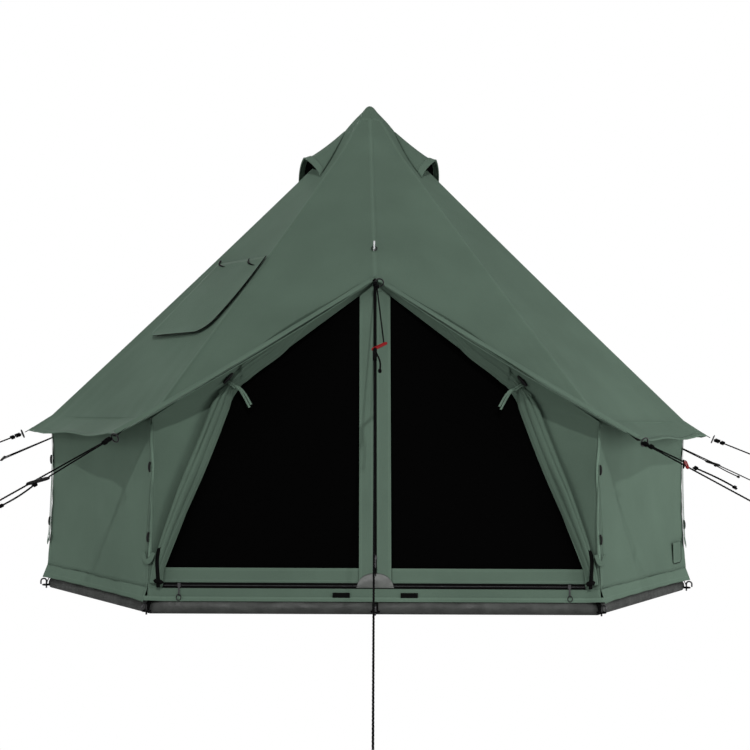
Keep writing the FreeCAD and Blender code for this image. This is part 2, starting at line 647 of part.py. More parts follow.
def make_front_panels():
    """Canvas between the door opening, the wall corner and the roof."""
    inset = dim("panel_inset")
    corner = polar(gore_step, dim("wall_radius"), dim("hem_base"))
    foot = door_point(dim("mesh_foot_width"), dim("hem_base"))
    top = polar(gore_step, dim("wall_radius"), wall_top - inset)
    peak = Vector(0, -dim("door_head_radius"), door_head_height - inset)
    opening_foot = door_point(dim("mesh_foot_width") - inset, dim("zip_top"))
    shoulder = door_point(dim("mesh_shoulder_width") + dim("shoulder_flare"),
                          dim("mesh_shoulder_height") - dim("shoulder_drop"))
    neck = door_point(dim("mesh_shoulder_width"), dim("mesh_shoulder_height"))
    head = door_point(dim("mesh_head_width"), dim("mesh_head_height"))
    right = [[corner, foot, opening_foot], [corner, opening_foot, top], [top, opening_foot, shoulder],
             [top, shoulder, neck], [top, neck, head], [top, head, peak]]
    for side, sign in (("left", -1), ("right", 1)):
        polygons = [[Vector(sign * p.x, p.y, p.z) for p in triangle][::sign] for triangle in right]
        node(f"front_panel_{side}", [facets(f"front_{side}_plates", polygons, dim("canvas"))])


FASTENER_X = (-48, 130)
HALF_MOON = ((-75, 0), (75, 0), (70, 26), (50, 46), (20, 57), (-20, 57), (-50, 46), (-70, 26))


def make_sill():
    """Fixed strip under the door, its zip tape, hook-and-loop patches and threshold patch."""
    span = "(mesh_foot_width - mesh_inset)"
    for label, low, high in (("front_sill", "hem_base", "sill_top"),
                             ("sill_zip_tape", "sill_top + gap", "zip_top - gap")):
        corners = [(f"-{span}", up_door(low)), (span, up_door(low)),
                   (span, up_door(high)), (f"-{span}", up_door(high))]
        node(label, [plate(label + "_plate", corners, "canvas", door_frame(-dim("canvas")))])
    patches = []
    half, low, high = "fastener_half_width", "fastener_base", "fastener_top"
    for k, x in enumerate(FASTENER_X):
        left, right = f"{x} - {half}", f"{x} + {half}"
        corners = [(left, low), (right, low), (right, high), (left, high)]
        patches.append(plate(f"sill_patch_{k}", corners, "mesh_sheet", door_frame(dim("gap"))))
    node("sill_fasteners", patches)
    foot = up_door("sill_top + canvas")
    moon = [(f"{x}", f"{foot} + {y}") for x, y in HALF_MOON]
    node("threshold_patch", [plate("threshold_plate", moon, "mesh_sheet", door_frame(dim("patch_lift")))])


def make_mesh_door():
    """Two mesh leaves that part along a centre zip; each leaf's inner border is its own piece."""
    inner = "(strip_width + 2 * gap)"
    foot, head = up_door("zip_top + gap"), up_door("mesh_head_height - 2 * mesh_inset")
    flare = up_door("mesh_shoulder_height - shoulder_drop")
    neck = up_door("mesh_shoulder_height - mesh_inset")
    outline = [(inner, foot), ("mesh_foot_width - mesh_inset - canvas", foot),
               ("mesh_shoulder_width + shoulder_flare - mesh_inset", flare),
               ("mesh_shoulder_width - mesh_inset", neck), (inner, head)]
    border = [("gap", foot), ("strip_width", foot), ("strip_width", up_door("strip_head_height")),
              ("gap", up_door("strip_head_height"))]
    for side, sign in (("left", "-"), ("right", "")):
        panel = [(f"{sign}({x})", y) for x, y in outline]
        strip = [(f"{sign}({x})", y) for x, y in border]
        node(f"mesh_panel_{side}", [plate(f"mesh_{side}", panel, "mesh_sheet",
                                          door_frame(-dim("mesh_sheet")))])
        node(f"mesh_edge_{side}", [plate(f"edge_{side}", strip, "canvas", door_frame(dim("gap")))])


def zip_slider(name, x, height):
    """Zip slider with a pull tab hanging from it."""
    climb = (height - dim("hem_base")) / sin(radians(door_angle))
    seat = door_frame(dim("slider_lift")) * Placement(Vector(x, climb, 0), Rotation())
    body = block(name + "_body", "slider_width", "slider_length", "slider_height", seat)
    hang = Vector(0, -(dim("slider_length") / 2 + dim("tab_length") / 2 - dim("gap")),
                  dim("slider_height") - dim("canvas"))
    tab = block(name + "_tab", "tab_width", "tab_length", "canvas", seat * Placement(hang, Rotation()))
    return fused(name + "_solid", [body, tab])


def make_zip_sliders():
    node("mesh_zip_slider", [zip_slider("mesh_slider", 0, dim("mesh_slider_height"))])
    for side, sign in (("left", -1), ("right", 1)):
        node(f"sill_zip_slider_{side}",
             [zip_slider(f"sill_slider_{side}", sign * dim("sill_slider_x"), dim("sill_slider_height"))])


def make_canvas_doors():
    """Canvas door leaves gathered and tied back beside the opening."""
    upper = dim("bundle_radius") + dim("bundle_clearance")
    lower = dim("bundle_foot_radius") + dim("bundle_clearance")
    ties = []
    for side, sign in (("left", -1), ("right", 1)):
        head = door_point(sign * dim("bundle_head_x"), dim("bundle_head_height"), upper)
        tie = door_point(sign * dim("tie_x"), dim("tie_height"), lower)
        foot = door_point(sign * dim("bundle_foot_x"), dim("bundle_foot_height"), lower)
        pieces = [rod(f"bundle_upper_{side}", "bundle_radius", str(round((tie - head).Length, 3)),
                      along(head, tie)),
                  ball(f"bundle_knee_{side}", "bundle_foot_radius", tie),
                  rod(f"bundle_lower_{side}", "bundle_foot_radius", str(round((foot - tie).Length, 3)),
                      along(tie, foot))]
        node(f"canvas_door_{side}", [fused(f"bundle_{side}", pieces)])
        ties.append(ring(f"door_tie_{side}", "bundle_foot_radius + tie_slack", "tie_wire",
                         along(tie, foot, dim("tie_offset"))))
    node("door_ties", ties)


# ---------------------------------------------------------------- guy ropes and pegs

GUYS = [("front", 0), ("rear", 180)]
GUYS += [(f"left_{k}", -azimuth) for k, azimuth in enumerate(side_corners, start=1)]
GUYS += [(f"right_{k}", azimuth) for k, azimuth in enumerate(side_corners, start=1)]


def guy_line(name, azimuth):
    """Top, ground point and heading of a guy rope, and formulas for its length and runner drop."""
    if name == "front":
        radius, reach, drop, heading = ("door_peak_radius", "front_guy_reach", "front_runner_drop",
                                        dim("front_guy_heading"))
        height = "(apex_height - roof_fall * door_peak_radius)"
        level = dim("apex_height") - dim("roof_fall") * dim("door_peak_radius")
    else:
        radius = "front_tip_radius" if name.endswith("_1") else "eave_tip_radius"
        reach, heading = "guy_reach", azimuth
        drop = "short_runner_drop" if name == "right_1" else "runner_drop"
        height, level = "eave_tip_height", dim("eave_tip_height")
    top = polar(azimuth, dim(radius), level)
    ground = top + polar(heading, dim(reach), -level)
    return top, ground, heading, f"sqrt({reach}^2 + {height}^2)", drop


def rope_frame(azimuth, top, ground, offset):
    """Frame on a guy rope: z runs down the rope and x runs level across it."""
    down = (ground - top).normalize()
    across = polar(azimuth + 90, 1, 0)
    return Placement(top + down * offset, Rotation(across, down.cross(across), down, "ZXY"))


def hooked_peg(name, shaft, placement):
    """Wire peg: a straight shaft below a half-round hook that opens towards local -y."""
    bar = rod(name + "_shaft", "peg_radius", shaft, Placement(Vector(0, 0, -dim(shaft)), Rotation()))
    hook = doc.addObject("Part::Torus", name + "_hook")
    bind(hook, Radius1="hook_radius", Radius2="peg_radius")
    hook.Angle3 = 180
    hook.Placement = Placement(Vector(0, -dim("hook_radius"), 0), Rotation(
        Vector(0, 1, 0), Vector(0, 0, 1), Vector(1, 0, 0), "ZXY"))
    tip = rod(name + "_tip", "peg_radius", "hook_radius",
              Placement(Vector(0, -2 * dim("hook_radius"), -dim("hook_radius")), Rotation()))
    peg = fused(name, [bar, hook, tip])
    peg.Placement = placement
    return peg


def make_guys():
    """Ropes from the eave loops to hooked stakes, each with a runner that slides to tighten it."""
    loops, ropes, strands, stakes = [], [], [], []
    spare = Vector(dim("strand_offset") / 2, 0, -dim("eave_loop_lift"))
    for name, azimuth in GUYS:
        top, ground, heading, length, drop = guy_line(name, azimuth)
        begin = rope_frame(heading, top, ground, dim("rope_start"))
        loops.append(ring(f"eave_loop_{name}", "strand_offset / 2", "eave_loop_wire",
                          begin * Placement(spare, Rotation())))
        ropes.append(rod(f"rope_{name}", "rope_radius", f"{length} - 2 * rope_start - rope_stop", begin))
        strand = begin * Placement(Vector(dim("strand_offset"), 0, 0), Rotation())
        strands.append(rod(f"strand_{name}", "rope_radius",
                           f"{drop} + runner_sheet / 2 - rope_start", strand))
        seat = rope_frame(heading, top, ground, dim(drop))
        holes = [(f"strand_offset / 2 * {k}", "0", "runner_hole") for k in range(3)]
        end = "(strand_offset + runner_end)"
        corners = [("-runner_end", "-runner_half_depth"), (end, "-runner_half_depth"),
                   (end, "runner_half_depth"), ("-runner_end", "runner_half_depth")]
        runner = plate(f"runner_{name}", corners, "runner_sheet", seat, holes)
        knot_drop = dim("runner_sheet") + dim("knot_radius") + dim("gap") / 2
        knot = ball(f"knot_{name}", "knot_radius", seat.multVec(Vector(dim("strand_offset"), 0, knot_drop)))
        node(f"guy_runner_{name}", [runner, knot])
        lean = Rotation(Vector(0, 0, 1), heading) * Rotation(Vector(1, 0, 0), -dim("stake_lean"))
        stake_top = ground + polar(heading, dim("stake_offset"), dim("stake_offset"))
        stakes.append(hooked_peg(f"stake_{name}", "stake_shaft", Placement(stake_top, lean)))
    node("eave_loops", loops)
    node("guy_ropes", ropes)
    node("guy_return_lines", strands)
    node("guy_stakes", stakes)


def make_base_pegs():
    """Webbing loops at the base corners, each held by a hooked peg."""
    loops, pegs = [], []
    for name, azimuth in GUYS:
        corner = front_apothem if name == "front" else dim("wall_radius")
        reach = corner + dim("loop_radius") + dim("loop_wire") + dim("gap")
        centre = polar(azimuth, reach, dim("loop_height"))
        loops.append(ring(f"base_loop_{name}", "loop_radius", "loop_wire", Placement(centre, Rotation())))
        turn = Rotation(Vector(0, 0, 1), azimuth)
        head = centre + Vector(0, 0, dim("loop_radius"))
        pegs.append(hooked_peg(f"peg_{name}", "peg_shaft", Placement(head, turn)))
    node("base_loops", loops)
    node("base_pegs", pegs)


# ---------------------------------------------------------------- the tent

make_groundsheet()
make_centre_pole()
make_door_a_frame()
make_roof()
make_apex_cap()
make_eaves()
make_vents()
make_stove_port()
make_walls()
make_front_panels()
make_sill()
make_mesh_door()
make_zip_sliders()
make_canvas_doors()
make_guys()
make_base_pegs()
doc.recompute()

for item in doc.Objects:
    if "Invalid" in item.State or "Error" in item.State:
        raise RuntimeError(f"{item.Label} did not compute: {item.State}")
for item in nodes:
    if item.Shape.isNull() or not item.Shape.isValid():
        raise RuntimeError(f"{item.Label} has no valid shape")
for item in nodes:
    item.Shape.exportStep(f"parts/{item.Label}.step")
print(len(nodes), "sub-parts")
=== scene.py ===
"""Looks of the bell tent: canvas, mesh, cord and fittings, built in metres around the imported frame."""

import json
import math

import bpy
from mathutils import Matrix, Vector, noise


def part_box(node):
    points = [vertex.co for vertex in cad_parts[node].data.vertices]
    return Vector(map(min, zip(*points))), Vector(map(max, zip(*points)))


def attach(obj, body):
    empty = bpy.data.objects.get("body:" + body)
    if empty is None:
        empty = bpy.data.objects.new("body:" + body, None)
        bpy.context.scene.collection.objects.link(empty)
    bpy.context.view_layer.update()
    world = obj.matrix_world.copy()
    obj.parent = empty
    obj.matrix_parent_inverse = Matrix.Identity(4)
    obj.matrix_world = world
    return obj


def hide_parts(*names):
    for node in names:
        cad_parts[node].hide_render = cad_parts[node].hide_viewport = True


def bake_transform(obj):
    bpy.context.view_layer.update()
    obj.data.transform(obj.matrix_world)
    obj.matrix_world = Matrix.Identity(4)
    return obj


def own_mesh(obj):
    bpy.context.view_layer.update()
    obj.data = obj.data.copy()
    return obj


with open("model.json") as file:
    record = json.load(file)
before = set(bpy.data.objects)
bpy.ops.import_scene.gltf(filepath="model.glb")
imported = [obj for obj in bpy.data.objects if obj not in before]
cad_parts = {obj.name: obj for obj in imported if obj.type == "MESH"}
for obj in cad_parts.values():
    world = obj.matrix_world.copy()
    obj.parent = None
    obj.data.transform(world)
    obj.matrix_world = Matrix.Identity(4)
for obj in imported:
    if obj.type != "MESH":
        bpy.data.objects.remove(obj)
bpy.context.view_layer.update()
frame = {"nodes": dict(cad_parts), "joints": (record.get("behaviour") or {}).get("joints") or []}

# ---------------------------------------------------------------- sizes taken from the frame

NODES = frame["nodes"]
JOINTS = {joint["name"]: joint for joint in frame["joints"]}
STEP = 36  # degrees between two roof seams
HALF = math.radians(STEP / 2)
CORNERS = (36, 72, 108, 144, 180, 216, 252, 288, 324)

WALL_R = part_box("groundsheet")[1].y
WALL_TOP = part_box("roof_canopy")[0].z
EAVE_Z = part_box("eave_flap")[0].z
EAVE_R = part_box("eave_flap")[1].y
FRONT_R = -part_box("eave_flap")[0].y / math.cos(2 * HALF)
HEM_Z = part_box("wall_hem_left")[0].z
HEM_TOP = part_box("wall_hem_left")[1].z
SILL_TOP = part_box("front_sill")[1].z
ZIP_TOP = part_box("sill_zip_tape")[1].z
FALL = 0.9893  # fall of a roof seam for each metre outwards
TOP_R = 0.078  # radius at which the seams end under the cap
HOOD_R = 0.307  # radius of the vent hoods' rims
APEX = WALL_TOP + FALL * WALL_R
PEAK_R = 0.918  # tip of the roof over the door
HEAD_R = 0.878  # top of the door plane
HEAD_Z = APEX - FALL * HEAD_R
FRONT_Y = WALL_R * math.cos(2 * HALF)
DOOR_ANGLE = math.atan2(HEAD_Z - HEM_Z, FRONT_Y - HEAD_R)
DOOR_UP = Vector((0, math.cos(DOOR_ANGLE), math.sin(DOOR_ANGLE)))
DOOR_OUT = Vector((0, -math.sin(DOOR_ANGLE), math.cos(DOOR_ANGLE)))
ROOF_ANGLE = math.atan(FALL / math.cos(HALF))
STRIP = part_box("mesh_edge_right")[1].x
SIDES = (("left", -1), ("right", 1))
OPENING = (  # half width of the door opening at each height, from the sill to the peak
    (0.838, 0.055), (0.830, 0.172), (0.711, 0.500), (0.579, 0.852), (0.545, 0.905), (0.470, 0.972),
    (0.057, 1.290), (0.0, 1.335))
FASTENER = 0.068  # length of a hook-and-loop patch
FOOT_FLARE = 0.018  # how far the walls lean out at their hem
WAIST = 0.014  # how far they are drawn in halfway up
STITCH = 0.0065  # distance from a seam at which the canvas material draws its stitches


def polar(azimuth, radius, height):
    """Point at an azimuth from the door towards +X, a radius and a height."""
    turn = math.radians(azimuth)
    return Vector((radius * math.sin(turn), -radius * math.cos(turn), height))


def door_point(x, height, lift=0.0):
    """Point on the leaning door plane, or lifted off it."""
    climb = (height - HEM_Z) / math.sin(DOOR_ANGLE)
    return Vector((x, -FRONT_Y, HEM_Z)) + DOOR_UP * climb + DOOR_OUT * lift


def wall_radius(height):
    """Corner radius of the walls: drawn in at half height and out again to the pegged hem."""
    spread = max(0.0, (WALL_TOP - height) / (WALL_TOP - HEM_Z))
    return WALL_R + FOOT_FLARE * spread ** 1.5 - WAIST * math.sin(math.pi * min(spread, 1.0))


def roof_z(point):
    """Height of the roof over a point."""
    azimuth = math.degrees(math.atan2(point.x, -point.y)) % 360
    centre = (int(azimuth / STEP) + 0.5) * STEP
    reach = math.hypot(point.x, point.y) * math.cos(math.radians(azimuth - centre))
    return APEX - FALL * reach / math.cos(HALF)


def crown_lift(radius):
    """How far the canvas is pushed up towards the pole's end."""
    return 0.040 * (1 - smooth(radius, 0.05, 0.27))


def gore_normal(azimuth):
    """Outward normal of the gore centred on an azimuth."""
    return polar(azimuth, math.sin(ROOF_ANGLE), math.cos(ROOF_ANGLE))


def smooth(value, low, high):
    """Smooth step from 0 at low to 1 at high."""
    share = min(1.0, max(0.0, (value - low) / (high - low)))
    return share * share * (3 - 2 * share)


def wobble(point, size, seed=0.0):
    """Soft noise in -1..1 with features of a given size."""
    return noise.noise(point / size + Vector((seed, seed * 1.7, -seed)))


def path_point(points, share):
    """Point at a share of the length of a broken line."""
    lengths = [(b - a).length for a, b in zip(points, points[1:])]
    target = share * sum(lengths)
    for a, b, length in zip(points, points[1:], lengths):
        if target <= length:
            return a.lerp(b, target / length)
        target -= length
    return points[-1].copy()


# ---------------------------------------------------------------- materials

class Graph:
    """Small helper that lays out one node material."""

    def __init__(self, name, roughness, specular=0.5, metallic=0.0):
        self.material = bpy.data.materials.new(name)
        self.material.use_nodes = True
        self.tree = self.material.node_tree
        self.shader = self.tree.nodes["Principled BSDF"]
        values = {"Roughness": roughness, "Specular IOR Level": specular, "Metallic": metallic}
        for key, value in values.items():
            self.shader.inputs[key].default_value = value
        self.place = self.add("ShaderNodeTexCoord").outputs["Object"]

    def add(self, kind, **values):
        node = self.tree.nodes.new(kind)
        for key, value in values.items():
            setattr(node, key, value)
        return node

    def link(self, source, target):
        self.tree.links.new(source, target)

    def noise(self, scale, detail=3.0, source=None):
        node = self.add("ShaderNodeTexNoise")
        node.inputs["Scale"].default_value = scale
        node.inputs["Detail"].default_value = detail
        self.link(source or self.place, node.inputs["Vector"])
        return node.outputs["Fac"]

    def maths(self, operation, first, second=0.0, third=0.0):
        node = self.add("ShaderNodeMath", operation=operation)
        for socket, value in zip(node.inputs, (first, second, third)):
            if isinstance(value, (int, float)):
                socket.default_value = value
            else:
                self.link(value, socket)
        return node.outputs[0]

    def mix(self, share, first, second, blend="MIX"):
        node = self.add("ShaderNodeMix", data_type="RGBA", blend_type=blend)
        for index, value in ((0, share), (6, first), (7, second)):
            if isinstance(value, (int, float)):
                node.inputs[index].default_value = value
            elif isinstance(value, tuple):
                node.inputs[index].default_value = (*value, 1.0)
            else:
                self.link(value, node.inputs[index])
        return node.outputs[2]

    def span(self, value, low, high, start=0.0, end=1.0):
        node = self.add("ShaderNodeMapRange")
        self.link(value, node.inputs["Value"])
        for name, number in (("From Min", low), ("From Max", high), ("To Min", start), ("To Max", end)):
            node.inputs[name].default_value = number
        return node.outputs["Result"]

    def axes(self):
        split = self.add("ShaderNodeSeparateXYZ")
        self.link(self.place, split.inputs[0])
        return [split.outputs[index] for index in range(3)]

    def waves(self, value, length):
        """Sine of a value, repeating over a length."""
        return self.maths("SINE", self.maths("MULTIPLY", value, 2 * math.pi / length))

    def attribute(self, name):
        return self.add("ShaderNodeAttribute", attribute_name=name).outputs["Fac"]

    def bump(self, height, strength, distance, under=None):
        node = self.add("ShaderNodeBump")
        node.inputs["Strength"].default_value = strength
        node.inputs["Distance"].default_value = distance
        self.link(height, node.inputs["Height"])
        if under is not None:
            self.link(under, node.inputs["Normal"])
        return node.outputs["Normal"]

    def finish(self, colour, normal=None, roughness=None):
        self.link(colour, self.shader.inputs["Base Color"])
        if normal is not None:
            self.link(normal, self.shader.inputs["Normal"])
        if roughness is not None:
            self.link(roughness, self.shader.inputs["Roughness"])
        return self.material


def shade(colour, level):
    """Colour made darker or paler."""
    return tuple(min(1.0, c * level) for c in colour)


def canvas_material(name, colour):
    """Matt cotton canvas: plain weave, soft mottling, darker dashed stitch lines beside each seam, and a
    painted highlight along each raised seam.
    """
    g = Graph(name, 0.9, 0.06)
    g.shader.inputs["Sheen Weight"].default_value = 0.05
    g.shader.inputs["Sheen Tint"].default_value = (0.55, 0.80, 0.64, 1.0)
    dark, pale = shade(colour, 0.86), shade(colour, 1.13)
    cloud = g.span(g.noise(3.1, 4), 0.3, 0.7)
    fleck = g.span(g.noise(420, 2), 0.35, 0.65)
    tone = g.mix(cloud, dark, pale)
    tone = g.mix(0.35, tone, g.mix(fleck, dark, pale))
    distance, along = g.attribute("seam_distance"), g.attribute("seam_along")
    line = g.maths("ABSOLUTE", g.maths("SUBTRACT", distance, STITCH))
    line = g.span(line, 0.0006, 0.0016, 1.0, 0.0)
    dash = g.span(g.maths("FRACT", g.maths("DIVIDE", along, 0.0042)), 0.25, 0.35)
    stitch = g.maths("MULTIPLY", line, dash)
    tone = g.mix(g.maths("MULTIPLY", stitch, 0.40), tone, shade(colour, 0.45))
    # Painted highlight: a paler band along each raised seam and hem edge, where the ridge would catch the
    # light.
    inner, outer = g.span(distance, 0.0001, 0.0004), g.span(distance, 0.0098, 0.0112, 1.0, 0.0)
    tone = g.mix(g.maths("MULTIPLY", g.maths("MULTIPLY", inner, outer), 0.16), tone, pale, "SCREEN")
    x, y, z = (g.waves(axis, 0.0016) for axis in g.axes())
    weave = g.maths("ADD", g.maths("MULTIPLY", x, z), g.maths("MULTIPLY", y, z))
    normal = g.bump(g.noise(38, 4), 0.12, 0.004)
    normal = g.bump(weave, 0.25, 0.0003, normal)
    normal = g.bump(g.maths("MULTIPLY", stitch, -1.0), 0.6, 0.0008, normal)
    return g.finish(tone, normal)


def coated_material(name, colour, roughness, crease=0.5):
    """Coated sheet: a slight gloss that follows small creases."""
    g = Graph(name, roughness, 0.30)
    tone = g.mix(g.span(g.noise(14, 5), 0.35, 0.7), shade(colour, 0.7), shade(colour, 1.35))
    normal = g.bump(g.noise(26, 6), crease, 0.006)
    return g.finish(tone, normal, g.span(g.noise(9, 4), 0.3, 0.7, roughness - 0.12, roughness + 0.15))


def net_material():
    """Fine black netting: a square grid that is almost closed."""
    g = Graph("mosquito_net", 0.85, 0.0)
    wires = [g.maths("ABSOLUTE", g.waves(axis, 0.0048)) for axis in g.axes()[::2]]
    hole = g.maths("MULTIPLY", wires[0], wires[1])
    # Painted shade: the holes are darker than the threads, standing for the dark inside of the tent seen
    # through them.
    tone = g.mix(hole, (0.0016, 0.0016, 0.0016), (0.0004, 0.0004, 0.0004))
    return g.finish(tone, g.bump(hole, 0.3, 0.0004))


def cord_material(name, colour, pitch=0.006):
    """Braided cord or woven tape: small diagonal ribs, with painted shade in their grooves and painted
    highlight on their crests.
    """
    g = Graph(name, 0.85, 0.04)
    x, y, z = g.axes()
    rib = g.waves(g.maths("ADD", g.maths("ADD", x, y), z), pitch)
    # Painted light: the ribs' crests are paler and their grooves darker, following the same wave as the bump.
    tone = g.mix(g.span(rib, -1, 1), shade(colour, 0.6), shade(colour, 1.6))
    normal = g.bump(rib, 0.35, 0.0006)
    return g.finish(tone, g.bump(g.noise(900, 2), 0.2, 0.0004, normal))


def metal_material(name, colour, roughness, metallic=1.0):
    """Drawn or plated metal with fine scratches and handling marks."""
    g = Graph(name, roughness, metallic=metallic)
    tone = g.mix(g.span(g.noise(30, 5), 0.4, 0.75), colour, shade(colour, 0.75))
    normal = g.bump(g.noise(300, 6), 0.08, 0.0005)
    return g.finish(tone, normal, g.span(g.noise(60, 5), 0.3, 0.7, roughness - 0.08, roughness + 0.15))


def plastic_material(name, colour, roughness):
    """Moulded plastic with a faint grain and rubbed spots."""
    g = Graph(name, roughness, 0.12)
    rubbed = tuple(c * 1.3 + 0.004 for c in colour)
    tone = g.mix(g.span(g.noise(45, 4), 0.45, 0.8), colour, rubbed)
    normal = g.bump(g.noise(700, 3), 0.15, 0.0004)
    return g.finish(tone, normal, g.span(g.noise(120, 3), 0.3, 0.7, roughness - 0.06, roughness + 0.12))


GREEN = (0.066, 0.098, 0.075)
CANVAS = canvas_material("canvas_green", GREEN)
CANVAS_HEM = canvas_material("canvas_hem_green", shade(GREEN, 1.12))
PVC = coated_material("groundsheet_grey", (0.024, 0.026, 0.024), 0.55, 0.9)
PATCH = coated_material("patch_grey", (0.062, 0.066, 0.062), 0.40, 0.3)
NET = net_material()
STRAP = cord_material("strap_green", shade(GREEN, 1.30), 0.004)
BLACK_CORD = cord_material("cord_black", (0.0018, 0.0018, 0.002))
TAPE = cord_material("tape_black", (0.0018, 0.0018, 0.0018), 0.003)
STEEL = metal_material("tube_steel", (0.55, 0.56, 0.57), 0.32)
DARK_STEEL = metal_material("peg_steel", (0.05, 0.05, 0.052), 0.45)
BLACK_METAL = metal_material("zip_black", (0.012, 0.012, 0.013), 0.4, 0.6)
RED = plastic_material("runner_red", (0.15, 0.001, 0.002), 0.5)
BLACK_PLASTIC = plastic_material("plastic_black", (0.004, 0.004, 0.004), 0.5)


# ---------------------------------------------------------------- mesh building

def mesh_object(name, points, faces, material):
    """Smooth mesh object from points and faces, with one material."""
    mesh = bpy.data.meshes.new(name)
    mesh.from_pydata([tuple(p) for p in points], [], faces)
    mesh.materials.append(material)
    mesh.polygons.foreach_set("use_smooth", [True] * len(mesh.polygons))
    mesh.update()
    piece = bpy.data.objects.new(name, mesh)
    bpy.context.scene.collection.objects.link(piece)
    return piece


def grid_faces(rows, columns, start=0, wrap=False):
    """Quads of a grid of rows by columns, joined round when wrap is set."""
    faces = []
    for r in range(rows - 1):
        for c in range(columns if wrap else columns - 1):
            n = (c + 1) % columns
            a, b = start + r * columns + c, start + r * columns + n
            faces.append((a, b, b + columns, a + columns))
    return faces


def mark_seams(piece, distances, alongs):
    """Distance to a seam and place along it at each point, which the canvas material reads."""
    for name, values in (("seam_distance", distances), ("seam_along", alongs)):
        piece.data.attributes.new(name, "FLOAT", "POINT").data.foreach_set("value", values)


def thicken(piece, thickness, weld=0.0):
    """Give a sheet its thickness behind its face and bake it into the mesh."""
    if weld:
        piece.modifiers.new("weld", "WELD").merge_threshold = weld
    shell = piece.modifiers.new("thickness", "SOLIDIFY")
    shell.thickness = thickness
    shell.offset = -1.0
    graph = bpy.context.evaluated_depsgraph_get()
    baked = bpy.data.meshes.new_from_object(piece.evaluated_get(graph))
    piece.modifiers.clear()
    piece.data = baked


def sheet(name, rows, material, thickness=0.0012, flip=False):
    """Cloth sheet from rows of points, or of (point, distance to a seam, place along it)."""
    cells = [cell for row in rows for cell in row]
    marked = isinstance(cells[0], tuple)
    faces = grid_faces(len(rows), len(rows[0]))
    if flip:
        faces = [face[::-1] for face in faces]
    piece = mesh_object(name, [cell[0] for cell in cells] if marked else cells, faces, material)
    if marked:
        mark_seams(piece, [cell[1] for cell in cells], [cell[2] for cell in cells])
    thicken(piece, thickness)
    return piece


def heading(points, k):
    """Direction of a path at one of its points."""
    return (points[min(k + 1, len(points) - 1)] - points[max(k - 1, 0)]).normalized()


def frames_along(points):
    """Tangent and two steady normals at each point of a path."""
    result = []
    side = None
    for k in range(len(points)):
        tangent = heading(points, k)
        if side is None:
            helper = Vector((0, 0, 1)) if abs(tangent.z) < 0.9 else Vector((1, 0, 0))
            side = tangent.cross(helper).normalized()
        else:
            side = (side - tangent * side.dot(tangent)).normalized()
        result.append((tangent, side, tangent.cross(side)))
    return result


def closed_faces(rings, sides):
    """Faces of a tube of rings of points, with both ends closed."""
    last = (rings - 1) * sides
    return grid_faces(rings, sides, wrap=True) + [tuple(range(sides))[::-1], tuple(range(last, last + sides))]


def tube_parts(points, radius, sides=10, twist=0.0, lobes=0, depth=0.0):
    """Points and faces of a closed tube along a path; lobes winding round it make it a laid rope."""
    ring_points, travelled = [], 0.0
    for k, (point, (_, a, b)) in enumerate(zip(points, frames_along(points))):
        if k:
            travelled += (point - points[k - 1]).length
        size = radius(k / (len(points) - 1)) if callable(radius) else radius
        for s in range(sides):
            turn = 2 * math.pi * s / sides
            bulge = 1 + depth * math.cos(lobes * turn - travelled * twist)
            ring_points.append(point + (a * math.cos(turn) + b * math.sin(turn)) * size * bulge)
    return ring_points, closed_faces(len(points), sides)


def tube(name, points, radius, material, **options):
    """Closed tube along a path."""
    return mesh_object(name, *tube_parts(points, radius, **options), material)


def merged(name, parts, material):
    """One mesh from several lists of points and faces."""
    points, faces = [], []
    for part_points, part_faces in parts:
        start = len(points)
        points += part_points
        faces += [tuple(i + start for i in face) for face in part_faces]
    return mesh_object(name, points, faces, material)


def tape_parts(path, width, normal, thickness=0.0014):
    """Flat woven tape along a path, lying across a normal, with softened edges."""
    profile = ((-0.5, 0), (-0.46, 0.35), (0, 1), (0.46, 0.35), (0.5, 0), (0, -0.15))
    points = []
    for k, point in enumerate(path):
        tangent = heading(path, k)
        across = tangent.cross(normal).normalized()
        up = across.cross(tangent).normalized()
        points += [point + across * (x * width) + up * (y * thickness) for x, y in profile]
    return points, closed_faces(len(path), len(profile))


def coil_parts(centre, axis, turns, radius=0.0068, wire=0.0030):
    """Cord wound round an axis, as in a whipped knot."""
    helper = Vector((0, 0, 1)) if abs(axis.z) < 0.9 else Vector((1, 0, 0))
    a = axis.cross(helper).normalized()
    b = axis.cross(a)
    steps, pitch = 14, wire * 1.9
    points = []
    for k in range(int(turns * steps) + 1):
        turn = 2 * math.pi * k / steps
        round_axis = (a * math.cos(turn) + b * math.sin(turn)) * radius
        points.append(centre + axis * (pitch * k / steps) + round_axis)
    return tube_parts(points, wire, sides=7)


def bezier(points, count):
    """Points along a Bezier curve."""
    result = []
    for k in range(count + 1):
        share, work = k / count, list(points)
        while len(work) > 1:
            work = [a.lerp(b, share) for a, b in zip(work, work[1:])]
        result.append(work[0])
    return result


def straight(start, stop, count):
    """Evenly spaced points on a line."""
    return [start.lerp(stop, k / count) for k in range(count + 1)]


def ellipse(centre, a, b, count):
    """Closed path round a centre, with two half axes."""
    turns = (2 * math.pi * n / count for n in range(count + 1))
    return [centre + a * math.cos(turn) + b * math.sin(turn) for turn in turns]


def tape(name, path, width, normal, thickness, material=TAPE):
    """One flat woven tape."""
    return merged(name, [tape_parts(path, width, normal, thickness)], material)


def paint(material, *names):
    """Give CAD nodes that stay visible their material."""
    for name in names:
        NODES[name].data.materials.clear()
        NODES[name].data.materials.append(material)


def place(piece, body, slot, *replaced):
    """Ride on a body and stand for CAD nodes; the slot argument is not used."""
    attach(piece, body)
    if replaced:
        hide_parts(*replaced)
    return piece


# ---------------------------------------------------------------- roof

SEAM_BAND = 0.0100
SEAM_RISE = 0.0011


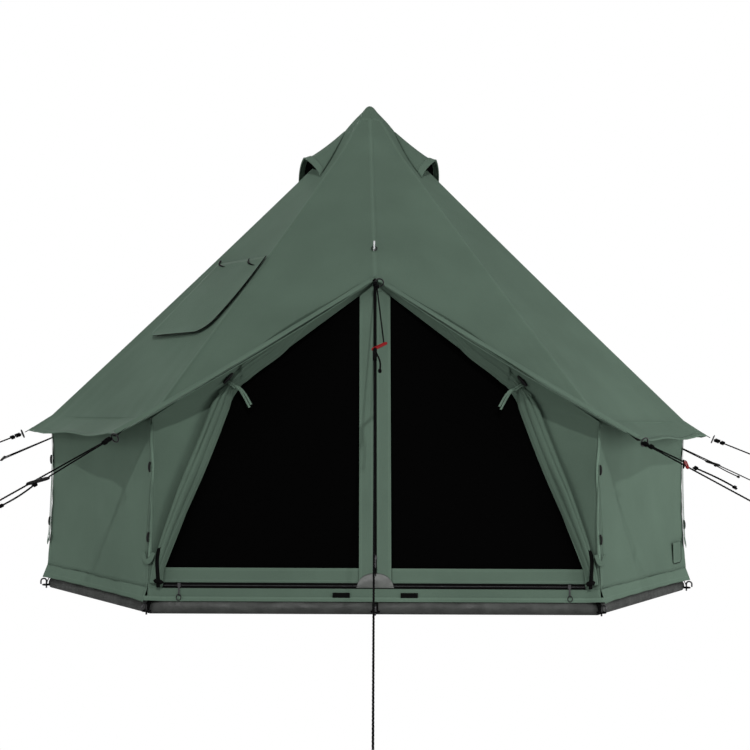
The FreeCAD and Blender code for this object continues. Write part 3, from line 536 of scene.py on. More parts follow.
def seam_nodes(index):
    """Upper end, knee at the wall and outer tip of the roof seam at a corner index."""
    azimuth = index * STEP
    top = polar(azimuth, TOP_R, APEX - FALL * TOP_R)
    if index % 10 == 0:
        knee, tip = PEAK_R - 0.03, PEAK_R
        return top, polar(0, knee, APEX - FALL * knee), polar(0, tip, APEX - FALL * tip - 0.002)
    tip = FRONT_R if index % 10 in (1, 9) else EAVE_R
    return top, polar(azimuth, WALL_R, WALL_TOP), polar(azimuth, tip, EAVE_Z + 0.002)


def gore_offsets(width, count):
    """Distances across a gore: fixed steps at the seam bands and even ones between."""
    band = (0.0, 0.0048, SEAM_BAND, SEAM_BAND + 0.0008)
    middle = [band[-1] + (width - 2 * band[-1]) * k / count for k in range(1, count)]
    return list(band) + middle + [width - b for b in band[::-1]]


def roof_rows():
    """Shares along a seam: 0 top, 1 knee at the wall, 2 edge, with close rows at the hem."""
    upper = [(k / 48) ** 1.35 for k in range(49)]
    lower = [1 + share for share in (0.2, 0.4, 0.6, 0.78)]
    return upper + lower + ["hem_in", "hem_edge", "hem_mid", "edge"]


def row_point(top, knee, tip, row):
    """Point on a seam line for one row."""
    if isinstance(row, str):
        back = {"hem_in": 0.0262, "hem_edge": 0.0250, "hem_mid": 0.0125, "edge": 0.0}[row]
        return tip + (knee - tip).normalized() * back
    if row <= 1:
        point = top.lerp(knee, row)
        lift = crown_lift(math.hypot(point.x, point.y)) - 0.008 * math.sin(math.pi * row)
        return point + Vector((0, 0, lift))
    clear = 1 - 0.030 / max((tip - knee).length, 0.031)
    return knee.lerp(tip, (row - 1) / 0.78 * clear)


def roof_relief(point, share, across, width, along, seed):
    """Height of the cloth off its flat gore: sag, seam puckers and soft slackness."""
    near = min(across, width - across)
    ripple = math.sin(along * 2 * math.pi / 0.061 + 3 * wobble(point, 0.2, seed))
    sag = -0.010 * math.sin(math.pi * across / width) * smooth(share, 0.0, 0.8) * (width / 0.9)
    pucker = 0.0011 * math.exp(-near / 0.045) * ripple
    slack = 0.0035 * wobble(point, 0.42, seed) * smooth(near, 0.0, 0.16)
    fine = 0.0012 * wobble(point, 0.11, seed + 7) * smooth(near, 0.0, 0.05)
    wave = math.sin(near * 2 * math.pi / 0.105 + 0.8)
    pull = 0.0030 * smooth(share, 0.55, 1.0) * math.exp(-near / 0.20) * wave
    return sag + pucker + slack + fine + pull


def make_roof():
    """One continuous canvas sheet of ten gores, flared at the eave and hemmed along its edge."""
    rows, count = roof_rows(), 30
    hem_marks = {"hem_edge": STITCH, "hem_mid": STITCH, "edge": 0.003}
    points, faces, distances, alongs = [], [], [], []
    for gore in range(10):
        left, right = seam_nodes(gore), seam_nodes(gore + 1)
        normal = gore_normal((gore + 0.5) * STEP)
        start = len(points)
        for row in rows:
            a, b = row_point(*left, row), row_point(*right, row)
            width = (b - a).length
            hem = isinstance(row, str)
            share = 2.0 if hem else row
            for across in gore_offsets(width, count):
                middle = across / width
                point = a.lerp(b, middle)
                along = (point - left[0]).length
                near = min(across, width - across)
                edge_curve = 4 * middle * (1 - middle)
                if share > 1 and gore not in (0, 9):
                    knee = left[1].lerp(right[1], middle)
                    point = point.lerp(knee, 0.13 * edge_curve * smooth(share, 1.0, 1.8))
                    flutter = math.sin(middle * 2 * math.pi * 2.0 + gore * 1.9) * smooth(near, 0.0, 0.1)
                    point.z += 0.0055 * flutter * smooth(share, 1.0, 2.0)
                    point.z -= 0.010 * edge_curve * smooth(share, 1.0, 1.8)
                if share > 1 and gore in (0, 9):
                    point.z -= 0.006 * edge_curve
                rise = roof_relief(point, min(share, 1.0), across, width, along, gore * 2.3)
                if row in hem_marks:
                    band = 0.0018
                else:
                    band = SEAM_RISE if near <= SEAM_BAND else 0.0
                if near < 1e-6:
                    seam = gore if across < 1e-6 else gore + 1
                    points.append(point + gore_normal(seam * STEP) * band)
                else:
                    points.append(point + normal * (rise * smooth(near, 0.0, 0.02) + band))
                distances.append(hem_marks.get(row, near))
                alongs.append(across if hem else along)
        faces += grid_faces(len(rows), len(points[start:]) // len(rows), start)
    roof = mesh_object("roof_canvas", points, faces, CANVAS)
    mark_seams(roof, distances, alongs)
    thicken(roof, 0.0014, weld=0.0004)
    place(roof, "root", "canvas", "roof_canopy", "eave_flap")


def make_roof_hem():
    """Paler webbing-backed band along the front roof edges."""
    for side, sign in SIDES:
        _, _, peak = seam_nodes(0)
        _, _, tip = seam_nodes(1)
        peak, tip = Vector((peak.x * sign, peak.y, peak.z)), Vector((tip.x * sign, tip.y, tip.z))
        normal = gore_normal(sign * STEP / 2)
        inward = (tip - peak).normalized().cross(normal) * sign
        path = []
        for k in range(61):
            share = k / 60
            point = peak.lerp(tip, share) - inward * 0.0125 + normal * 0.0042
            point.z -= 0.006 * 4 * share * (1 - share)
            path.append(point)
        place(tape(f"roof_hem_{side}", path, 0.024, normal, 0.0016, CANVAS_HEM), "root", "canvas")


def cap_height(radius):
    """Height of the cap: just proud of the roof, and rounded over the pole's end."""
    cone = APEX + crown_lift(radius) + 0.0035 - FALL * math.hypot(radius, 0.008)
    return cone + 0.006 * math.exp(-((radius - 0.018) / 0.016) ** 2)


def make_apex_cap():
    """Sewn cap over the pole's end: it lies on the roof and rounds over at the top."""
    rim, sides, steps = 0.0895, 120, 22
    rows = []
    for k in range(steps + 2):
        radius = rim if k == 0 else max(0.0006, rim * (1 - (k - 1) / steps))
        drop = 0.0030 if k == 0 else 0.0
        row = []
        for s in range(sides + 1):
            azimuth = 360 * s / sides
            off = math.radians((azimuth % STEP) - STEP / 2)
            facet = 1 + (math.cos(HALF) / math.cos(off) - 1) * smooth(radius, 0.012, 0.06)
            pucker = 0.0006 * math.sin(math.radians(azimuth) * 23) * smooth(radius, 0.04, 0.08)
            point = polar(azimuth, radius * facet, cap_height(radius) - drop + pucker)
            row.append((point, max(0.0001, rim - radius), 2 * math.pi * radius * s / sides))
        rows.append(row)
    place(sheet("apex_canvas_cap", rows, CANVAS, 0.0014), "root", "canvas", "apex_cap")


ARCH = 44  # steps across a vent hood


def hood_rows(azimuth, scale=1.0, tuck=0.0):
    """Arches of one hood from its upper end to its rim; scale and tuck draw them inwards."""
    top_r, half_top, half_mouth = 0.130, 0.012, 0.172
    bend, rise, forward = 0.84, 0.092, 0.028
    across, radial = polar(azimuth + 90, 1, 0), polar(azimuth, 1, 0)
    crest_top = APEX - FALL * top_r + crown_lift(top_r) + 0.006
    crest_rim = APEX - FALL * (HOOD_R + forward) + rise
    count = 32
    rows = []
    for r in range(count + 1):
        share = r / count
        radius = top_r + (HOOD_R - top_r) * share
        half = (half_top + (half_mouth - half_top) * share) * scale
        fall = min(share / bend, 1.0) * 0.92 + 0.08 * smooth(share, bend, 1.0)
        crest = crest_top + (crest_rim - crest_top) * fall
        row = []
        for k in range(ARCH + 1):
            side = -math.cos(math.pi * k / ARCH)
            bulge = forward * (1 - side * side) * share ** 3
            point = radial * (radius + bulge) + across * (side * half)
            seam = radial * (radius + bulge)
            height = crest - (roof_z(seam) + crown_lift(seam.length) + 0.004)
            level = roof_z(point) + crown_lift(math.hypot(point.x, point.y)) + 0.004
            arched = (1 - abs(side) ** 2.3) ** 0.62
            crease = 0.003 * math.sin(math.pi * share) * math.sin(side * 4 + azimuth)
            point.z = level + arched * height * scale
            row.append(point + radial * (crease - tuck))
        rows.append(row)
    return rows


def make_hoods():
    """Awning-like vent hoods astride the seams: an arched, hemmed mouth with net inside."""
    for number, azimuth in enumerate((-72, 72, 180), start=1):
        radial = polar(azimuth, 1, 0)
        arches = hood_rows(azimuth)
        crest = ARCH // 2
        rows = []
        for arch in arches:
            back = STITCH + abs((arches[-1][crest] - arch[crest]).length - 0.018)
            walked, row = 0.0, []
            for k, point in enumerate(arch):
                walked += (point - arch[max(k - 1, 0)]).length
                row.append((point, back, walked))
            rows.append(row)
        rows.append([(p - radial * 0.004 - Vector((0, 0, 0.006)) * math.sin(math.pi * k / ARCH), 0.03, walked)
                     for k, (p, _, walked) in enumerate(rows[-1])])
        hood = sheet(f"vent_hood_{number}", rows, CANVAS, 0.0016, flip=True)
        place(hood, "root", "canvas", *(["vent_hoods"] if number == 1 else []))
        proud = radial * 0.0005 + Vector((0, 0, 0.0016))
        band_rows = [[p + proud for p in arch] for arch in arches[-6:]]
        band = sheet(f"vent_hem_{number}", band_rows, CANVAS_HEM, 0.0012, flip=True)
        place(band, "root", "canvas")
        mouth = hood_rows(azimuth, 0.95, 0.012)[-3]
        floor = [mouth[0].lerp(mouth[-1], c / ARCH) for c in range(ARCH + 1)]
        screen = []
        for k in range(9):
            screen.append([low.lerp(high, k / 8) for low, high in zip(floor, mouth)])
            for point in screen[-1]:
                point.z = max(point.z, roof_z(point) + 0.006)
        net = sheet(f"vent_net_{number}", screen, NET, 0.0008)
        place(net, "root", "mosquito_mesh", *(["vent_meshes"] if number == 1 else []))


# ---------------------------------------------------------------- walls

def wall_relief(point, share, drop, seed):
    """Soft vertical billows and creases of a hanging wall."""
    taut = math.sin(math.pi * share)
    low, high = (Vector((point.x, point.y, point.z * stretch)) for stretch in (0.35, 0.22))
    billow = 0.009 * taut * wobble(low, 0.30, seed)
    crease = 0.0030 * wobble(high, 0.085, seed + 3) * smooth(taut, 0.0, 0.5)
    corner = 0.0012 * math.exp(-min(share, 1 - share) * 9) * math.sin(drop * 2 * math.pi / 0.13 + seed)
    return billow + crease + corner


def wall_strip(azimuths, heights, seed, flare=None):
    """Rows of cloth round the wall corners."""
    rows = []
    for height in heights:
        row = []
        for n, (a, b) in enumerate(zip(azimuths, azimuths[1:])):
            start, end = polar(a, wall_radius(height), height), polar(b, wall_radius(height), height)
            width = (end - start).length
            outward = polar((a + b) / 2, 1, 0)
            for across in gore_offsets(width, 34):
                share = across / width
                near = min(across, width - across)
                point = start.lerp(end, share)
                if flare:
                    lift = flare(height, share, near)
                else:
                    lift = wall_relief(point, share, height, seed + n * 2.1)
                rise = 0.0014 if near <= SEAM_BAND else 0.0
                row.append((point + outward * (lift + rise + 0.002), near, height))
        rows.append(row)
    return rows


def hem_flare(height, share, near):
    """How far the wall hem stands out, most at its pegged corners."""
    spread = 1 - (height - HEM_Z) / (HEM_TOP - HEM_Z)
    return 0.016 * spread * math.exp(-near / 0.10) + 0.002 * math.sin(share * 37) * smooth(near, 0.0, 0.08)


def make_walls():
    """Side walls, and hems that ride on their own bodies."""
    stitch_z = HEM_Z + 0.0175
    hem_levels = sorted([HEM_Z + (HEM_TOP - HEM_Z) * k / 8 for k in range(9)] + [stitch_z])
    top = WALL_TOP - 0.004
    for side, sign in SIDES:
        azimuths = [sign * a for a in (36, 72, 108, 144, 180)]
        heights = [HEM_TOP + (top - HEM_TOP) * k / 36 for k in range(37)]
        wall = sheet(f"wall_canvas_{side}", wall_strip(azimuths, heights, 5 + sign), CANVAS, flip=sign < 0)
        place(wall, "root", "canvas", f"wall_{side}")
        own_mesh(wall)
        rows = [[(p, STITCH if abs(z - stitch_z) < 1e-6 else 0.02, z) for p, _, z in row]
                for row in wall_strip(azimuths, hem_levels, 9 + sign, hem_flare)]
        hem = sheet(f"wall_hem_canvas_{side}", rows, CANVAS_HEM, 0.0016, flip=sign < 0)
        place(hem, f"wall_hem_{side}", "canvas", f"wall_hem_{side}")
        make_wall_ties(side, sign)


def make_wall_ties(side, sign):
    """Strap, toggle and hanging cord loop at each wall corner, for holding the rolled wall."""
    toggles, straps, cords = [], [], []
    for azimuth in (36, 72, 108, 144):
        out = polar(sign * azimuth, 1, 0)
        across = polar(sign * azimuth + 90, 1, 0) * sign

        def by_corner(stations):
            return [polar(sign * azimuth, wall_radius(height) + proud, height) + across * sideways
                    for height, sideways, proud in stations]

        path = by_corner([(0.745 - 0.535 * k / 30, -0.004 + 0.003 * math.sin(k * 0.5), 0.0058)
                          for k in range(31)])
        straps.append(tape_parts(path, 0.014, out, 0.0016))
        for z in (0.575, 0.300):
            path = by_corner([(z - 0.020, 0.006, 0.010), (z, 0.010, 0.014), (z + 0.020, 0.004, 0.010)])
            toggles.append(tube_parts(bezier(path, 8), lambda s: 0.0050 * (1 - 0.35 * abs(2 * s - 1) ** 3)))
        for spread, foot in ((-0.016, -0.012), (0.022, 0.020)):
            path = by_corner([(0.560, 0.004, 0.008), (0.460, spread * 0.6, 0.008), (0.330, spread, 0.009),
                              (0.235, foot, 0.009)])
            cords.append(tape_parts(bezier(path, 24), 0.007, out, 0.0018))
        path = by_corner([(0.242, -0.022, 0.008), (0.196, -0.018, 0.014), (0.190, 0.022, 0.014),
                          (0.242, 0.028, 0.008)])
        cords.append(tape_parts(bezier(path, 24), 0.022, out, 0.002))
    tie = merged(f"wall_toggles_{side}", toggles, BLACK_PLASTIC)
    strap = merged(f"wall_straps_{side}", straps, STRAP)
    cord = merged(f"wall_cords_{side}", cords, CANVAS)
    for piece in (tie, strap, cord):
        place(piece, "root", "webbing")
        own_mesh(piece)
    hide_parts(f"wall_ties_{side}")


# ---------------------------------------------------------------- door front

def opening_points(sign):
    """Outline of the door opening on one side, from the sill to the peak."""
    return [door_point(sign * x, height) for x, height in OPENING]


def make_front_panels():
    """Canvas between the opening, the wall corner and the underside of the roof."""
    for side, sign in SIDES:
        inner = opening_points(sign)
        levels = [HEM_Z + 0.004 + (WALL_TOP - HEM_Z - 0.010) * k / 8 for k in range(9)]
        corner = [polar(sign * STEP, wall_radius(height), height) for height in levels]
        peak = Vector((0, -HEAD_R, HEAD_Z - 0.006))
        rows = []
        for first, inside, outside in ((0, inner[:4], corner), (1, inner[3:], [corner[-1], peak])):
            for k in range(first, 41):
                a, b = path_point(inside, k / 40), path_point(outside, k / 40)
                width = max((b - a).length, 0.001)
                row = []
                for c in range(33):
                    t = c / 32
                    point = a.lerp(b, t)
                    body = math.sin(math.pi * t)
                    low = Vector((point.x, point.y, point.z * 0.3))
                    soft = 0.010 * body * wobble(point, 0.33, sign * 4.0)
                    fold = 0.0045 * body * wobble(low, 0.07, sign + 11)
                    belly = -0.014 * body * smooth(width, 0.05, 0.3)
                    row.append((point + DOOR_OUT * (soft + fold + belly), (1 - t) * width, point.z))
                rows.append(row)
        panel = sheet(f"front_canvas_{side}", rows, CANVAS, flip=sign < 0)
        place(panel, "root", "canvas", f"front_panel_{side}")


def door_strip(name, low, high, half, lift, material, slot, node=None, thickness=0.0012, ripple=0.0012,
               line=None):
    """Horizontal strip on the door plane between two heights, with a stitched line where one is given."""
    rows = []
    for k in range(9):
        height = low + (high - low) * k / 8
        near = STITCH + (0.05 if line is None else abs(height - low - line))
        level = math.sin(math.pi * (height - low) / (high - low))
        row = []
        for c in range(161):
            x = half * (2 * c / 160 - 1)
            forward = 0.024 * smooth(abs(x), OPENING[0][0] - 0.02, 0.90)
            point = door_point(x, height, lift + forward)
            rise = ripple * wobble(point, 0.09, 2.0) * level
            row.append((point + DOOR_OUT * rise, near, half * 2 * c / 160))
        rows.append(row)
    place(sheet(name, rows, material, thickness), "root", slot, *([node] if node else []))


def make_sill():
    """Sill, its paler hem band, the zip tape, the fasteners and the patch."""
    corner_x = wall_radius(HEM_Z) * math.sin(2 * HALF)
    door_strip("sill_canvas", HEM_Z, SILL_TOP, corner_x - 0.004, 0.004, CANVAS, "canvas", "front_sill")
    door_strip("sill_hem", HEM_Z - 0.001, HEM_Z + 0.017, corner_x + 0.012, 0.0068, CANVAS_HEM, "canvas",
               thickness=0.0018, ripple=0.0006, line=0.015)
    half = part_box("sill_zip_tape")[1].x
    door_strip("sill_zip", SILL_TOP - 0.001, ZIP_TOP + 0.001, half, 0.0022, TAPE, "webbing", "sill_zip_tape",
               thickness=0.0016, ripple=0.0016)
    height, steps = (SILL_TOP + ZIP_TOP) / 2, 800
    path = [door_point(-half + 2 * half * k / steps, height + 0.0006 * (k % 2), 0.0042)
            for k in range(steps + 1)]
    place(tube("sill_zip_teeth", path, 0.0028, BLACK_METAL, sides=6), "root", "zip_metal")
    low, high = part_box("sill_fasteners")
    height = (low.z + high.z) / 2
    patches = []
    for _, sign in SIDES:
        path = [door_point(sign * (high.x - FASTENER * k / 8), height, 0.0085) for k in range(9)]
        patches.append(tape_parts(path, high.z - low.z, DOOR_OUT, 0.0016))
    place(merged("sill_touch_tape", patches, TAPE), "root", "webbing", "sill_fasteners")
    low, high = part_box("threshold_patch")
    rows = []
    half, tall = (high.x - low.x) / 2, high.z - low.z
    for k in range(13):
        share = k / 12
        row = []
        for c in range(41):
            t = 2 * c / 40 - 1
            top = tall * (1 - abs(t) ** 2.6) ** 0.62
            point = door_point(half * (1 - 0.02 * share) * t, low.z + (top + 0.0008) * share, 0.0062)
            row.append(point + DOOR_OUT * 0.003 * math.sin(math.pi * share) * (1 - t * t))
        rows.append(row)
    place(sheet("threshold_cover", rows, PATCH, 0.0016), "root", "groundsheet_pvc", "threshold_patch")


def make_mesh_door():
    """Net leaves, their canvas borders along the sill and the centre zip."""
    foot, head = ZIP_TOP + 0.002, 1.335
    border_top = 0.178
    for side, sign in SIDES:
        rows = []
        for k in range(41):
            height = border_top - 0.004 + (1.286 - border_top) * k / 40
            edge = opening_half(height)
            row = []
            for c in range(25):
                t = c / 24
                soft = wobble(Vector((t * edge, height, 0)), 0.3, 3.0 * sign) * math.sin(math.pi * t)
                x = STRIP - 0.004 + (edge - STRIP + 0.004) * t
                row.append(door_point(sign * x, height, 0.004 * soft - 0.0015))
            rows.append(row)
        net = sheet(f"door_net_{side}", rows, NET, 0.0008, flip=sign < 0)
        rows = []
        for k in range(9):
            height = foot + (border_top - foot) * k / 8
            edge = opening_half(height)
            near = min(height - foot, border_top - height)
            row = []
            for c in range(61):
                x = STRIP - 0.002 + (edge + 0.004 - STRIP) * c / 60
                point = door_point(sign * x, height, 0.0015)
                row.append((point + DOOR_OUT * 0.0016 * wobble(point, 0.08, 6.0), near, c / 60 * edge))
            rows.append(row)
        border = sheet(f"net_border_{side}", rows, CANVAS, 0.0016, flip=sign < 0)
        for piece, slot in ((net, "mosquito_mesh"), (border, "canvas")):
            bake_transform(piece)
        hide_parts(f"mesh_panel_{side}")
        make_zip_strip(side, sign, foot, head)


def opening_half(height):
    """Half width of the door opening at a height."""
    for (x0, z0), (x1, z1) in zip(OPENING, OPENING[1:]):
        if z0 <= height <= z1:
            return x0 + (x1 - x0) * (height - z0) / (z1 - z0)
    return OPENING[-1][0]


def make_zip_strip(side, sign, foot, head):
    """Canvas border beside the centre zip, with half of the zip."""
    gap = 0.0055
    rows = []
    for k in range(121):
        height = foot + (head - foot) * k / 120
        outer = min(STRIP, max(0.012, opening_half(height)))
        row = []
        for c in range(13):
            x = gap + (outer - gap) * c / 12
            ripple = math.sin(math.pi * c / 12) * wobble(Vector((sign * x * 2, 0, height)), 0.06, 1.0)
            point = door_point(sign * x, height, 0.004 + 0.0022 * ripple)
            row.append((point, min(x - gap, outer - x), height))
        rows.append(row)
    strip = sheet(f"zip_border_{side}", rows, CANVAS, 0.0016, flip=sign < 0)
    path = [door_point(sign * 0.0033, foot + (head - 0.01 - foot) * k / 400, 0.0045 + 0.0008 * (k % 2))
            for k in range(401)]
    teeth = tape(f"centre_zip_{side}", path, 0.0062, DOOR_OUT, 0.0018)
    for piece, slot in ((strip, "canvas"), (teeth, "webbing")):
        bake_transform(piece)
    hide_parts(f"mesh_edge_{side}")


LEAF_PATH = (  # middle of a gathered door leaf, from the peak to the sill
    (0.066, 1.320), (0.155, 1.252), (0.276, 1.168), (0.412, 1.046), (0.515, 0.970), (0.592, 0.893),
    (0.628, 0.800), (0.662, 0.700), (0.706, 0.580), (0.760, 0.440), (0.812, 0.300), (0.855, 0.170),
    (0.862, 0.112))
TIE_POINT = 5  # where along it the tie sits
LEAF_STEPS = 220
LEAF_DEPTH = 0.046  # room the folds want under the roof


def roof_gap(point):
    """Distance from a point on the door plane to the roof, square to the door."""
    slope = DOOR_OUT.z - FALL * DOOR_OUT.y
    return (roof_z(point) - point.z) / slope


def panel_lift(point):
    """How far the front panel stands forward of the door plane at a point of that plane."""
    x, height = abs(point.x), point.z
    corner_x = WALL_R * math.sin(2 * HALF)
    if x <= opening_half(height):
        return 0.0
    low = (x - opening_half(height)) / (corner_x - opening_half(height))
    low_lift = min(low, 1.0) * (height - HEM_Z) * math.cos(DOOR_ANGLE)
    share = x / corner_x
    seam = HEAD_Z + (WALL_TOP - HEAD_Z) * share
    rim = None
    for (x0, z0), (x1, z1) in zip(OPENING[4:], OPENING[5:]):
        if rim is None and x1 <= x <= x0:
            rim = z0 + (z1 - z0) * (x - x0) / (x1 - x0)
    if rim is None or height < OPENING[4][1]:
        return low_lift
    seam_lift = share * (WALL_TOP - HEM_Z) * math.cos(DOOR_ANGLE)
    return min(1.0, max(0.0, (height - rim) / (seam - rim))) * seam_lift


def leaf_width(share, tie):
    """Width of the gathered door: thin at the peak, pinched at the tie, tapering to the sill."""
    if share < tie:
        full = 0.012 + 0.018 * min(1.0, share / 0.17) + 0.030 * smooth(share, 0.15, 0.30)
    else:
        full = 0.060 - 0.026 * smooth(share, 0.65, 1.0)
    return full * (1 - 0.55 * math.exp(-((share - tie) / 0.030) ** 2))


def leaf_section(share, tie, sign):
    """Cross-section of the gathered sheet: a flat hemmed edge towards the opening, then rolling folds."""
    width = leaf_width(share, tie)
    hem = min(0.024, width * 0.45)
    bunch = math.exp(-((share - tie) / 0.05) ** 2)
    folds = 2.0 + 2 * (1 - smooth(share, tie - 0.02, tie + 0.06))
    phase = 1.5 * wobble(Vector((share * 4, sign * 2, 0)), 1.0, 4.0)
    sway = 0.8 + 0.4 * wobble(Vector((share * 7, sign * 5, 1)), 1.0, 9.0)
    swing = 0.0085 * min(1.0, width / 0.05) * sway * (1 - 0.5 * bunch)
    uneven = wobble(Vector((share * 9, sign, 3)), 1.0, 1.0)
    depth = (0.020 + 0.008 * uneven + 0.010 * bunch) * min(1.0, width / 0.055) ** 1.5 + 0.010 * bunch
    depth += 0.012 * smooth(share, tie + 0.08, tie + 0.3) * (1 - smooth(share, 0.85, 1.0))
    points = []
    for c in range(11):
        t = c / 10
        roll = 1 - smooth(t, 0.0, 0.35)
        rise = 0.004 + 0.010 * math.sin(math.pi * t * 0.6) - 0.012 * roll
        points.append((width / 2 - hem * t, rise, hem * t))
    start = points[-1][1]
    for c in range(1, 45):
        t = c / 44
        turn = 2 * math.pi * folds * t + phase * smooth(t, 0.0, 0.3)
        across = width / 2 - hem - (width - hem) * t + swing * math.sin(turn) * smooth(t, 0.0, 0.15)
        rise = start * (1 - t) + depth * 0.5 * (1 - math.cos(turn)) * (1 - 0.25 * t)
        points.append((across, rise, 0.05))
    points[-1] = (points[-1][0] - 0.002, -0.006, 0.05)
    return points


def make_canvas_doors():
    """Door leaves rolled aside: one sheet in long folds from the peak, through the tie, to the sill."""
    for side, sign in SIDES:
        base = [door_point(sign * x, z) for x, z in LEAF_PATH]
        lengths = [(b - a).length for a, b in zip(base, base[1:])]
        tie = sum(lengths[:TIE_POINT]) / sum(lengths)
        spine = soften([path_point(base, k / LEAF_STEPS) for k in range(LEAF_STEPS + 1)], 30)
        rows = []
        for k, centre in enumerate(spine):
            tangent = heading(spine, k)
            across = tangent.cross(DOOR_OUT) * sign
            up = across.cross(tangent) * sign
            if up.dot(DOOR_OUT) < 0:
                up = -up
            along = (spine[0] - centre).length
            row = []
            for u, rise, near in leaf_section(k / LEAF_STEPS, tie, sign):
                point = centre + across * u
                under = panel_lift(point) + 0.006
                room = max(roof_gap(point) - 0.008 - under, 0.002)
                point += up * (under + rise * min(1.0, room / LEAF_DEPTH))
                row.append((point, max(0.0001, near), along))
            rows.append(row)
        leaf = sheet(f"gathered_door_{side}", rows, CANVAS, 0.0014, flip=sign < 0)
        place(leaf, "root", "canvas", f"canvas_door_{side}")
        front = [p + DOOR_OUT * (panel_lift(p) + 0.014) for p in spine]
        make_door_tie(side, sign, front, round(tie * LEAF_STEPS))


def soften(points, rounds):
    """Round the corners of a path, keeping its ends."""
    for _ in range(rounds):
        inner = [a * 0.25 + b * 0.5 + c * 0.25 for a, b, c in zip(points, points[1:], points[2:])]
        points = [points[0], *inner, points[-1]]
    return points


def make_door_tie(side, sign, spine, middle):
    """Strap and toggle that hold the gathered leaf, with a spare loop hanging from it."""
    tangent = (spine[middle + 2] - spine[middle - 2]).normalized()
    across = tangent.cross(DOOR_OUT) * sign
    centre = spine[middle] + DOOR_OUT * 0.006
    parts = []
    for shift in (-0.004, 0.004):
        ring = ellipse(centre + tangent * shift, across * 0.021, DOOR_OUT * 0.026, 28)
        parts.append(tube_parts(ring, 0.0034, sides=8))
    hang = centre + across * 0.016 + DOOR_OUT * 0.012
    inward = Vector((-sign, 0, 0))
    for shift in (0.0, 0.012):
        path = bezier([hang, hang + inward * (0.020 + shift) + DOOR_UP * 0.004,
                       hang + inward * (0.040 + shift) - DOOR_UP * 0.040,
                       hang + inward * (0.066 + shift * 0.5) - DOOR_UP * (0.088 - shift)], 20)
        parts.append(tape_parts(path, 0.009, DOOR_OUT, 0.002))
    straps = merged(f"door_tie_strap_{side}", parts, STRAP)
    place(straps, "root", "webbing", *(["door_ties"] if sign < 0 else []))
    toggle = centre + DOOR_OUT * 0.036 - across * 0.010 + DOOR_UP * 0.012
    lean = (inward * 0.5 + DOOR_UP * 0.6).normalized()
    path = [toggle - lean * 0.028, toggle + DOOR_OUT * 0.005, toggle + lean * 0.028]
    parts = [tube_parts(bezier(path, 12), lambda s: 0.0072 * (1 - 0.4 * abs(2 * s - 1) ** 4), sides=12)]
    for near, far, depth in ((-0.020, -0.034, 0.02), (0.010, -0.004, 0.03)):
        path = [toggle, toggle + across * near + DOOR_OUT * 0.012, toggle + across * far - DOOR_OUT * depth]
        parts.append(tube_parts(bezier(path, 12), 0.0030, sides=8))
    place(merged(f"door_toggle_{side}", parts, BLACK_PLASTIC), "root", "black_plastic")


def make_zip_tails():
    """Black tape ends that hang at the foot of each gathered leaf, and ring pulls on the sliders."""
    hanging = ((0.838, 0.258, 0.048), (0.868, 0.215, 0.056), (0.846, 0.160, 0.056), (0.848, 0.098, 0.034))
    folded = ((0.862, 0.118, 0.042), (0.848, 0.128, 0.058), (0.832, 0.112, 0.040))
    for side, sign in SIDES:
        path, fold = (bezier([door_point(sign * x, z, lift) for x, z, lift in stations], count)
                      for stations, count in ((hanging, 30), (folded, 16)))
        tail = [tape_parts(path, 0.015, DOOR_OUT, 0.002), tape_parts(fold, 0.016, DOOR_OUT, 0.003)]
        place(merged(f"zip_tail_{side}", tail, TAPE), "root", "webbing")
        slider = f"sill_zip_slider_{side}"
        paint(BLACK_METAL, slider)
        low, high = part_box(slider)
        hole = Vector(((low.x + high.x) / 2, low.y - 0.004, low.z - 0.006))
        ring = ellipse(hole, Vector((0.009, 0, 0)), Vector((0, 0, 0.012)), 24)
        place(tube(f"sill_pull_ring_{side}", ring, 0.0017, BLACK_METAL, sides=8), slider, "zip_metal")
    low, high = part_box("mesh_zip_slider")
    pull = Vector(((low.x + high.x) / 2, low.y - 0.003, low.z))
    cord = bezier([pull, pull + Vector((0.004, -0.004, -0.03)), pull + Vector((-0.002, -0.002, -0.06))], 12)
    place(tube("mesh_zip_pull", cord, 0.0022, BLACK_CORD, sides=8), "mesh_zip_slider", "zip_metal")
    paint(BLACK_METAL, "mesh_zip_slider")


# ---------------------------------------------------------------- flaps and groundsheet

